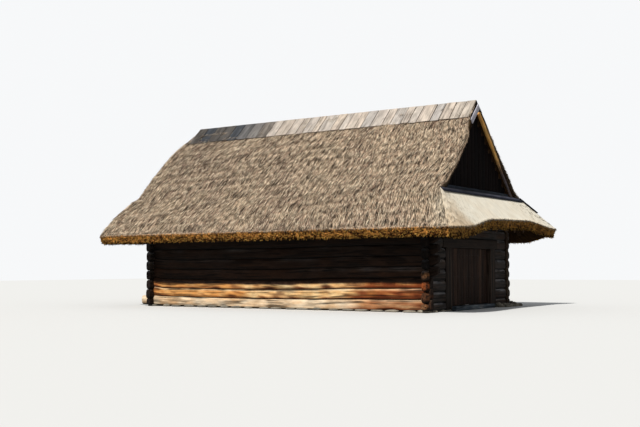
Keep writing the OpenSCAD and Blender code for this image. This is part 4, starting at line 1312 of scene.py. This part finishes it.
def slope_layer(side):
    """Outer and inner faces of a long slope with their relief, point + normal * waves, and the outer
    one's normals. The front eave is a little thinner and its cut leans out, and the rear one droops
    between its corners."""
    outer = slope_sheet(side, False, row_v, straight_cols[side], corner_cols)
    inner = slope_sheet(side, True, row_v, straight_cols[side], corner_cols)
    n = normals_of(outer)
    fade = (1 - ease(0.985, 1.0, row_v))[None, :, None]
    outer = round_verge(outer, n)
    outer = outer + n * ((thatch_relief(outer) - 0.014)[..., None] * fade
                         - edge_r * round_eave(row_v)[None, :, None])
    down = unit(outer[:, -1:] - outer[:, -4:-3])
    outer = outer + down * ((ragged(outer) - 0.012) * ease(0.96, 1.0, row_v))[..., None]
    inner = inner + n * (0.006 * waves(inner, 431, 0.5))[..., None]
    inner = inner + down * (ragged(inner + 5.0) * ease(0.96, 1.0, row_v))[..., None]
    if side < 0:
        thin = (eave_thinning * ease(0.88, 1.0, row_v))[:, None]
        inner = mix(inner, outer, thin) + down * cut_lean * thin / eave_thinning
    if side > 0:
        for sheet, droop in ((outer, rear_droop_out), (inner, rear_droop_in)):
            between_corners = 1 - ease(droop_full, droop_ends, np.abs(sheet[..., 0]))
            sheet[..., 2] -= droop * ease(0.80, 1.0, row_v) * between_corners
    return outer, inner, n


def eave_line_straws(outer, inner, count, seed, tone_of):
    """Straw ends along the cut face: from several heights of the face, pointing out of it, the
    lower ones further, so that the sun reaches them."""
    down = unit(outer[:, -1] - outer[:, -4])
    off = unit(inner[:, -1] - outer[:, -1])
    groups = []
    for t in CUT_LEVELS:
        length = (0.03 + 0.03 * t, 0.07 + 0.06 * t)
        groups.append(edge_straws(
            mix(outer[:, -1], inner[:, -1], t) - down * 0.02, down, off, count // len(CUT_LEVELS),
            seed + int(100 * t), tone_of, STRAW_CUT_TIP, length, 0.4, (0.028, 0.064), 0.8, clump=3.0))
    return groups


def fringe_straws(outer, inner, n, count, seed, tone_of, cut_of):
    """Wisps that droop over the cut face from its upper edge, and dim ragged ends under its lower
    one."""
    down = unit(outer[:, -1] - outer[:, -4])
    fall = np.array([0.0, 0.0, -1.0])
    upper = edge_straws(outer[:, -1] - down * 0.05, unit(down + 0.25 * fall), n[:, -1], count, seed,
                        tone_of, STRAW_TIP, (0.05, 0.13), 0.35, (0.016, 0.034), 0.8)
    lower = edge_straws(inner[:, -1] + n[:, -1] * 0.02, unit(down + 0.8 * fall), n[:, -1], count // 2,
                        seed + 1, lambda points: cut_of(points) * 0.45, STRAW_CUT_DARK, (0.02, 0.055),
                        0.5, (0.014, 0.030), 0.5)
    return [upper, lower]


def hanging_straws(edge, count, seed, colour):
    """A few long stalks of one colour that have slipped out of an eave and hang down."""
    fall = np.zeros_like(edge) + (0.0, 0.0, -1.0)
    return edge_straws(edge, fall, unit(edge * (1, 1, 0)), count, seed,
                       lambda points: np.zeros_like(points) + colour, colour, (0.10, 0.24), 0.35,
                       (0.012, 0.018), 0.1)


def verge_straws(end, side, outer, inner, n, rows):
    """Wisps that stand out along a verge, darker as painted shade from the upper edge of the layer to its
    lower one.
    """
    edge, under = outer[end, rows], inner[end, rows]
    outwards = np.zeros_like(edge) + ((-1.0 if end == 0 else 1.0), 0.0, 0.0)
    run = outwards * 0.45 + unit(np.gradient(edge, axis=0)) + unit(under - edge) * 0.2
    return [edge_straws(mix(edge, under, t) + outwards * 0.012, run, n[end, rows], verge_straw_count,
                        460 + side + end + int(30 * t), lambda points, dim=dim: straw_colour(points) * dim,
                        np.array(STRAW_TIP) * dim, (0.05, 0.14), 0.4, (0.012, 0.026))
            for t, dim in VERGE_LEVELS]


# Straws on each half of a slope and their contrast, and straws on its cut face and over its edges.
STRAW_COUNTS = {-1: (28000, 1.8, 7000, 3200), 1: (10000, 0.9, 4200, 1920)}
foot_row = int(np.searchsorted(row_v, upper_part))
for side, word in ((-1, "front"), (1, "rear")):
    outer, inner, n = slope_layer(side)
    middle = len(outer) // 2
    layer = thatch_part(outer, inner, cut_rows, under_straw_colour, cut_colour, 0.03, foot_row,
                        run_length(outer[:, 40]), run_length(outer[middle]))
    add_piece(f"{word}_slope_thatch", [layer], straw_finishes,
              replaces=[f"{word}_thatch"])
    loose, contrast, at_cut, at_edge = STRAW_COUNTS[side]
    for half, sheet in (("left", outer[:middle + 1]), ("right", outer[middle:])):
        wisps = surface_straws(sheet, loose, 440 + side + len(half), straw_colour, STRAW_TIP,
                               contrast=contrast)
        add_straws(f"{word}_slope_{half}_straws", [wisps])
    groups = eave_line_straws(outer, inner, at_cut, 450 + side, cut_colour)
    groups += fringe_straws(outer, inner, n, at_edge, 453 + side, straw_colour, cut_colour)
    groups.append(hanging_straws(mix(outer[:, -1], inner[:, -1], 0.7), 14, 455 + side, STRAW_GOLD))
    for end in (0, -1):
        groups += verge_straws(end, side, outer, inner, n, slice(18, foot_row))
    add_straws(f"{word}_slope_edge_straws", groups)


# Thatched skirts at the gables: newer, paler straw in the same thickness. Over the doors the
# eave of the right one is trimmed shorter, so that a high load passes under it.
SKIRT_PALE = (1.000, 0.970, 0.900)
SKIRT_SHADE = (0.965, 0.905, 0.805)
SKIRT_TIP = (1.000, 0.985, 0.930)
SKIRT_HIP = (0.815, 0.720, 0.600)
SKIRT_CUT = (0.860, 0.630, 0.340)
SKIRT_CUT_DARK = (0.500, 0.320, 0.150)
eave_lift = 0.300
lift_from, lift_full, lift_ends = -3.800, -0.800, 2.600
skirt_cols, skirt_rows = 110, 34


def skirt_share(end, y):
    """Share of the skirt's length that is left at y."""
    if end < 0:
        return np.ones_like(y)
    lift = eave_lift * ease(lift_from, lift_full, y) * (1 - ease(lift_ends, corner_y(end, 1), y))
    return 1 - lift / (gable_foot_z - skirt_edge_z(y, False))


def skirt_sheet(end, inner, v):
    """Grid of a skirt's face: a fan at each rounded corner and straight lines between them, from
    the gable's foot down to the eave."""
    head_x = end * (gable_board_x if inner else verge_x)
    head_z = skirt_in_z if inner else gable_foot_z
    columns = []

    def column(y, eave, share):
        """A column from the gable's foot at y to a point of the eave, bowed by the swell."""
        swell = swell_at(end, y, inner)
        head = np.array([head_x + end * swell, y, head_z])
        t = (v * share)[:, None]
        columns.append(mix(head, np.asarray(eave), t) + np.array([end * swell, 0, 0]) * t * (1 - t))

    for k in np.linspace(0, 1, corner_cols):
        column(-(foot_y(-1, inner) - top_corner_w * k), eave_corner(end, -1, (1 + k) / 2, inner), 1.0)
    top = [-(foot_y(-1, inner) - top_corner_w), foot_y(1, inner) - top_corner_w]
    for t in np.linspace(0, 1, skirt_cols + 2)[1:-1]:
        y = mix(-corner_y(end, -1), corner_y(end, 1), t)
        eave = (end * (skirt_eave_x - (butt_in if inner else 0.0)), y, skirt_edge_z(y, inner))
        column(mix(top[0], top[1], t), eave, float(skirt_share(end, np.array(y))))
    for k in np.linspace(1, 0, corner_cols):
        column(foot_y(1, inner) - top_corner_w * k, eave_corner(end, 1, (1 + k) / 2, inner), 1.0)
    return np.array(columns)


def skirt_colour(end):
    """Pale straw; towards the hips it slowly turns to the darker straw of the long slopes."""
    def colour(points):
        y = points[..., 1]
        reach = np.clip((gable_foot_z - points[..., 2]) / (gable_foot_z - 2.8), 0, 1)
        front = -y - mix(foot_y(-1, False), corner_y(end, -1) - 0.35 * (end > 0), reach)
        rear = y - mix(foot_y(1, False), corner_y(end, 1), reach)
        spread = (0.42 + 0.60 * reach ** 6) * (end > 0)
        hip = ease(-0.45, 0.60 - 0.3 * reach, front + spread * 0.9 + 0.15 * waves(points, 503, 0.5))
        hip = np.maximum(hip, ease(-0.05, 0.35, rear)) * (0.20 + 0.80 * reach)
        bright = blend_colours(SKIRT_PALE, SKIRT_SHADE, 0.22 + 0.25 * waves(points, 501, 0.8))
        if end < 0:
            bright = blend_colours(bright, STRAW_GREY, 0.6)
        streak = waves(points * (0.5, 1.0, 0.3), 504, 0.25)
        return blend_colours(bright, SKIRT_HIP, (0.92 + 0.15 * streak) * hip)
    return colour


def skirt_cut_colour(points):
    """Cut ends under the skirt's eave."""
    return blend_colours(SKIRT_CUT, SKIRT_CUT_DARK, 0.35 + 0.35 * waves(points, 521, 0.4))


pale_straw = straw_finish("pale straw", 36.0, 4.0, 0.88, 1.08, 0.08, 0.002)
skirt_v = np.unique(np.r_[np.linspace(0, 0.9, skirt_rows - 8), np.linspace(0.91, 1.0, 8)])
for end, word in ((-1, "left"), (1, "right")):
    outer, inner = skirt_sheet(end, False, skirt_v), skirt_sheet(end, True, skirt_v)
    n = normals_of(outer)
    fade = ((1 - ease(0.95, 1.0, skirt_v)) * ease(0.0, 0.06, skirt_v))[None, :, None]
    outer = outer + n * ((0.22 * thatch_relief(outer) - 0.004)[..., None] * fade
                         - edge_r * round_eave(skirt_v, 0.04)[None, :, None])
    down = unit(outer[:, -1:] - outer[:, -3:-2])
    outer = outer + down * ((ragged(outer) - 0.012) * ease(0.9, 1.0, skirt_v))[..., None]
    inner = inner + down * (ragged(inner + 5.0) * ease(0.9, 1.0, skirt_v))[..., None]
    tone = skirt_colour(end)
    layer = thatch_part(outer, inner, cut_rows, tone, skirt_cut_colour, 0.0, 0,
                        run_length(outer[:, -1]), run_length(outer[70]))
    add_piece(f"{word}_skirt_layer", [layer], [pale_straw, cut_straw, soffit_straw],
              replaces=[f"{word}_skirt_thatch"])
    count = 7600 if end > 0 else 4400
    thinning = np.linspace(1, 0, 2 * corner_cols + 10)[:, None] ** 2
    reach = len(thinning) + 1
    groups = []
    for sheet, weight in ((outer[:reach], thinning), (outer[-reach:], thinning[::-1])):
        groups.append(surface_straws(sheet, count // 3, 530 + end + len(groups), tone, SKIRT_TIP,
                                     (0.14, 0.36), (0.010, 0.022), lift=0.008, contrast=0.30, ridge=0.15,
                                     bias=0.8, weight=weight))
    groups += eave_line_straws(outer, inner, int(0.6 * count), 550 + end, skirt_cut_colour)
    groups += fringe_straws(outer, inner, n, int(0.32 * count), 545 + end, tone, skirt_cut_colour)
    groups.append(hanging_straws(mix(outer[:, -1], inner[:, -1], 0.1), 7, 565 + end, SKIRT_SHADE))
    add_straws(f"{word}_skirt_straws", groups)


# Ridge boards: sawn boards about a metre long, nailed side by side down each slope from the
# ridge. They are weathered to silver grey, darker towards the left. The last two at the right
# are newer, and their lower ends are uneven.
BOARD_SILVER = (0.800, 0.745, 0.690)
BOARD_BLUE = (0.705, 0.690, 0.680)
BOARD_WARM = (0.760, 0.720, 0.675)
BOARD_DARK = (0.255, 0.272, 0.298)
BOARD_TAN = (0.374, 0.340, 0.306)
board_t = 0.030
new_boards = 2


def slope_ways(side):
    """Unit vectors down a long slope and square out of it, and the slope's length for each metre
    in plan."""
    flat = math.hypot(1, RISES[side])
    return (np.array([0.0, side, -RISES[side]]) / flat, np.array([0.0, side * RISES[side], 1.0]) / flat, flat)


def ridge_board_parts(side, node):
    """Boards of random width from the left end of the ridge to the right one."""
    rng = np.random.default_rng(600 + side)
    low, high = box_corners(node)
    slope, up, flat = slope_ways(side)
    length = (high[1] - low[1] - board_t * RISES[side] / flat) * flat
    edges = [low[0]]
    while edges[-1] < high[0] - 0.2:
        edges.append(edges[-1] + rng.uniform(0.28, 0.58))
    edges = low[0] + (np.array(edges) - low[0]) * (high[0] - low[0]) / (edges[-1] - low[0])
    parts = []
    for k, (a, b) in enumerate(zip(edges[:-1], edges[1:])):
        gap = rng.uniform(0.009, 0.018)
        dark = float(ease(-0.4, -4.4, (a + b) / 2 + rng.normal(0, 0.7)))
        colour = blend_colours(BOARD_SILVER, BOARD_BLUE, rng.uniform(-0.2, 0.9))
        if k >= len(edges) - 1 - new_boards:
            colour = np.array(BOARD_WARM)
        # Towards the left end the boards are blended to a darker grey-tan.
        left_board_tone = blend_colours(BOARD_DARK, BOARD_TAN, rng.uniform(-0.3, 0.8))
        colour = blend_colours(colour, left_board_tone, 0.95 * dark)
        top = np.array([a + gap, 0.0, ridge_z + 0.003 + rng.uniform(0, 0.006)])
        short = rng.uniform(0, 0.045)
        tilt = rng.uniform(-0.006, 0.006)
        parts.append(board(top + slope * 0.006, (b - a - 2 * gap, 0, tilt), slope * (length - 0.012 - short),
                           up * board_t * 0.85, 610 + k, colour, (3, 8), 0.0025, 0.004))
    return parts


silver_board = hewn_wood_finish("silvered board", 0.14, 0.5, 0.003, (1.0, 0.97, 0.95))
for side, word in ((-1, "front"), (1, "rear")):
    node = f"{word}_ridge_boards"
    add_piece(f"{word}_ridge_board_row", ridge_board_parts(side, node), [silver_board],
              replaces=[node])


# Gables over the skirts: dark upright boards, a peeled pole under each verge, a short barge board
# at the front of the ridge, a plank on edge at the foot and weathered planks laid on the skirt's
# head and its rear hip.
GABLE_DARK = (0.042, 0.034, 0.036)
GABLE_BROWN = (0.082, 0.054, 0.050)
POLE_SUNLIT_GOLD = (1.000, 0.790, 0.490)
POLE_SHADE_GREY = (0.440, 0.420, 0.460)
PLANK_BLUE = (0.190, 0.215, 0.260)
PLANK_NAVY = (0.105, 0.115, 0.160)
BARGE_LILAC = (0.860, 0.850, 0.900)
pole_r = 0.066
barge_x, barge_from, barge_l, barge_w = 6.600, 0.130, 0.920, 0.200
gable_board_w = 0.312
foot_plank_h, laid_plank_w = 0.155, 0.205
laid_lean = math.radians(47)


def gable_board_parts(end):
    """Upright boards that end under the thatch, each with its own thickness and tone."""
    low, high = box_corners("right_gable_boards")
    rng = np.random.default_rng(700 + end)
    parts = []
    for k, y in enumerate(np.arange(low[1], high[1], gable_board_w + 0.003)):
        w = min(gable_board_w, high[1] - y)
        mid = y + w / 2
        side = -1 if mid < 0 else 1
        room = slope_z(side, abs(mid) + w / 2, True) - low[2] + 0.05
        if room < 0.12:
            continue
        deep = rng.uniform(0, 0.010)
        colour = blend_colours(GABLE_DARK, GABLE_BROWN, rng.uniform(0, 1))
        x = end * (high[0] - deep)
        parts.append(board((x, y, low[2] + 0.002), (0, w, 0), (0, 0, room), (-end * 0.026, 0, 0), 710 + k,
                           colour, (3, 10), 0.002, 0.004))
    return parts


def pole(a, b, radius, seed, colour):
    """A peeled pole from a to b: rings that waver a little, closed to a point at both ends."""
    a, b = np.asarray(a, float), np.asarray(b, float)
    length = np.linalg.norm(b - a)
    way = (b - a) / length
    side_way = unit(np.cross(way, (1.0, 0, 0)))
    up = np.cross(side_way, way)
    s = np.r_[0, 0.0, 0.01, np.linspace(0.05, length - 0.05, 24), length - 0.01, length, length]
    r = radius * np.r_[0, 0.8, 1, np.ones(24) + 0.06 * np.sin(np.arange(24) * 1.3 + seed), 1, 0.8, 0]
    t = np.linspace(0, 2 * math.pi, 14, endpoint=False)
    centre = a + s[:, None] * way
    points = centre[:, None] + r[:, None, None] * (np.cos(t)[:, None] * side_way + np.sin(t)[:, None] * up)
    points += (0.006 * waves(points, seed, 1.2))[..., None] * up
    uv = np.stack(np.broadcast_arrays(s[:, None] + seed, np.r_[t, 2 * math.pi][None, :] * radius), -1)
    return grid_part(points, uv, colour(points))


def pole_colour(points):
    """Painted sunlight: golden under the ridge, where the sun lights the pole, and grey towards the foot as
    painted shade.
    """
    return linear(blend_colours(POLE_SHADE_GREY, POLE_SUNLIT_GOLD, ease(4.9, 5.7, points[..., 2])))


def laid_plank_colour(points):
    """Nearly black, with a pale line along the upper edge painted as a highlight."""
    # Pale line along the upper edge: a painted highlight.
    wear_and_painted_highlight = ease(0.045, 0.015, np.abs(points[..., 2] - gable_foot_z + 0.03))
    return linear(blend_colours(PLANK_NAVY, BARGE_LILAC, 0.25 * wear_and_painted_highlight))


def gable_trim(end):
    """Poles under the verges, a short barge board under the ridge boards, a plank along the rear
    hip, and the two planks at the gable's foot."""
    poles = []
    for side, out in ((-1, 0.030), (1, 0.120)):
        x = end * (gable_board_x + out)
        y1 = foot_y(side, True) * 0.98
        poles.append(pole((x, side * 0.03, slope_z(side, 0.03, True) + 0.05),
                          (x, side * y1, slope_z(side, y1, True) + 0.05), pole_r, 720 + side, pole_colour))
    slope, up = slope_ways(-1)[:2]
    barge_top = np.array([end * barge_x, 0.0, ridge_z - 0.05]) + slope * barge_from
    planks = [board(barge_top, -up * barge_w, slope * barge_l, (end * 0.028, 0, 0), 725, BARGE_LILAC,
                    (2, 16))]
    hip_top = np.array([end * (verge_x + 0.02), foot_y(1, False) - 0.05, gable_foot_z + 0.02])
    run = unit(eave_corner(end, 1, 0.5, False) + (0, 0, 0.02) - hip_top)
    across = unit(np.cross(run, (end * 0.4, 0.4, 1.0)))
    planks.append(board(hip_top - across * 0.08, across * 0.15, run * 0.97,
                        unit(np.cross(across, run)) * 0.02, 735, PLANK_NAVY, (2, 10)))
    low, high = box_corners("right_skirt_planks")
    foot = gable_foot_z
    planks.append(board((end * gable_board_x, low[1] + 0.15, foot), (0, 0, foot_plank_h),
                        (0, high[1] - low[1] - 0.3, 0), (end * 0.030, 0, 0), 730, PLANK_BLUE, (2, 30)))
    down = np.array([end * math.cos(laid_lean), 0, -math.sin(laid_lean)])
    out = np.array([end * math.sin(laid_lean), 0, math.cos(laid_lean)])
    planks.append(board(np.array([end * verge_x, low[1] + 0.03, foot + 0.004]), down * laid_plank_w,
                        (0, high[1] - low[1] - 0.06, 0), out * 0.028, 731, laid_plank_colour, (5, 30)))
    return poles, planks


gable_wood = hewn_wood_finish("dark gable board", 0.3, 0.7, 0.003, (1.0, 0.86, 0.84), 0.03)
pole_wood = hewn_wood_finish("peeled pole", 0.35, 0.4, 0.003)
for end, word in ((-1, "left"), (1, "right")):
    poles, planks = gable_trim(end)
    add_piece(f"{word}_gable_upright_boards", gable_board_parts(end), [gable_wood],
              replaces=[f"{word}_gable_boards"])
    add_piece(f"{word}_verge_poles", poles, [pole_wood])
    add_piece(f"{word}_foot_planks", planks, [silver_board],
              replaces=[f"{word}_skirt_planks"])


# Floor and light: a plain pale floor, a key light from the front at half height, and an even
# pale fill from all round.
floor_size = 160.0
FLOOR_SEEN = (0.80, 0.80, 0.79, 1.0)
FLOOR_BOUNCE = (0.22, 0.22, 0.21, 1.0)
SKY_SEEN = (0.93, 0.94, 0.95, 1.0)
KEY_COLOUR = (1.0, 0.975, 0.93)
FILL_COLOUR = (0.92, 0.96, 1.0, 1.0)
key_strength, key_angle = 3.4, math.radians(2)
fill_strength = 0.34
sun_from = np.array([0.05, -1.0, 1.075])


def floor_finish():
    """Pale where the camera sees it, and darker to the light that it throws back."""
    n = Nodes("floor")
    path = n.add("ShaderNodeLightPath")
    seen = n.sum(n.sum(path.outputs["Is Camera Ray"], path.outputs["Is Glossy Ray"], "MAXIMUM"),
                 path.outputs["Is Transmission Ray"], "MAXIMUM")
    n.put(n.shader.inputs["Base Color"], n.mix(FLOOR_BOUNCE, FLOOR_SEEN, seen))
    n.put(n.shader.inputs["Roughness"], 1.0)
    n.put(n.shader.inputs["Specular IOR Level"], 0.0)
    return n.material


half = floor_size / 2
floor_mesh = bpy.data.meshes.new("floor")
floor_corners = [(-half, -half, 0), (half, -half, 0), (half, half, 0), (-half, half, 0)]
floor_mesh.from_pydata(floor_corners, [], [(0, 1, 2, 3)])
floor_mesh.materials.append(floor_finish())
floor = bpy.data.objects.new("floor", floor_mesh)
bpy.context.scene.collection.objects.link(floor)

key_data = bpy.data.lights.new("key", "SUN")
key_data.energy = key_strength
key_data.angle = key_angle
key_data.color = KEY_COLOUR
key = bpy.data.objects.new("key", key_data)
key.rotation_euler = Vector(-sun_from).to_track_quat("-Z", "Y").to_euler()
bpy.context.scene.collection.objects.link(key)

world = bpy.data.worlds.new("fill")
world.use_nodes = True
bpy.context.scene.world = world
tree = world.node_tree
tree.nodes.clear()
path = tree.nodes.new("ShaderNodeLightPath")
fill = tree.nodes.new("ShaderNodeBackground")
fill.inputs["Color"].default_value = FILL_COLOUR
fill.inputs["Strength"].default_value = fill_strength
seen = tree.nodes.new("ShaderNodeBackground")
seen.inputs["Color"].default_value = SKY_SEEN
seen.inputs["Strength"].default_value = 1.0
switch = tree.nodes.new("ShaderNodeMixShader")
out = tree.nodes.new("ShaderNodeOutputWorld")
tree.links.new(path.outputs["Is Camera Ray"], switch.inputs["Fac"])
tree.links.new(fill.outputs["Background"], switch.inputs[1])
tree.links.new(seen.outputs["Background"], switch.inputs[2])
tree.links.new(switch.outputs["Shader"], out.inputs["Surface"])

bpy.context.scene.view_settings.view_transform = "Standard"
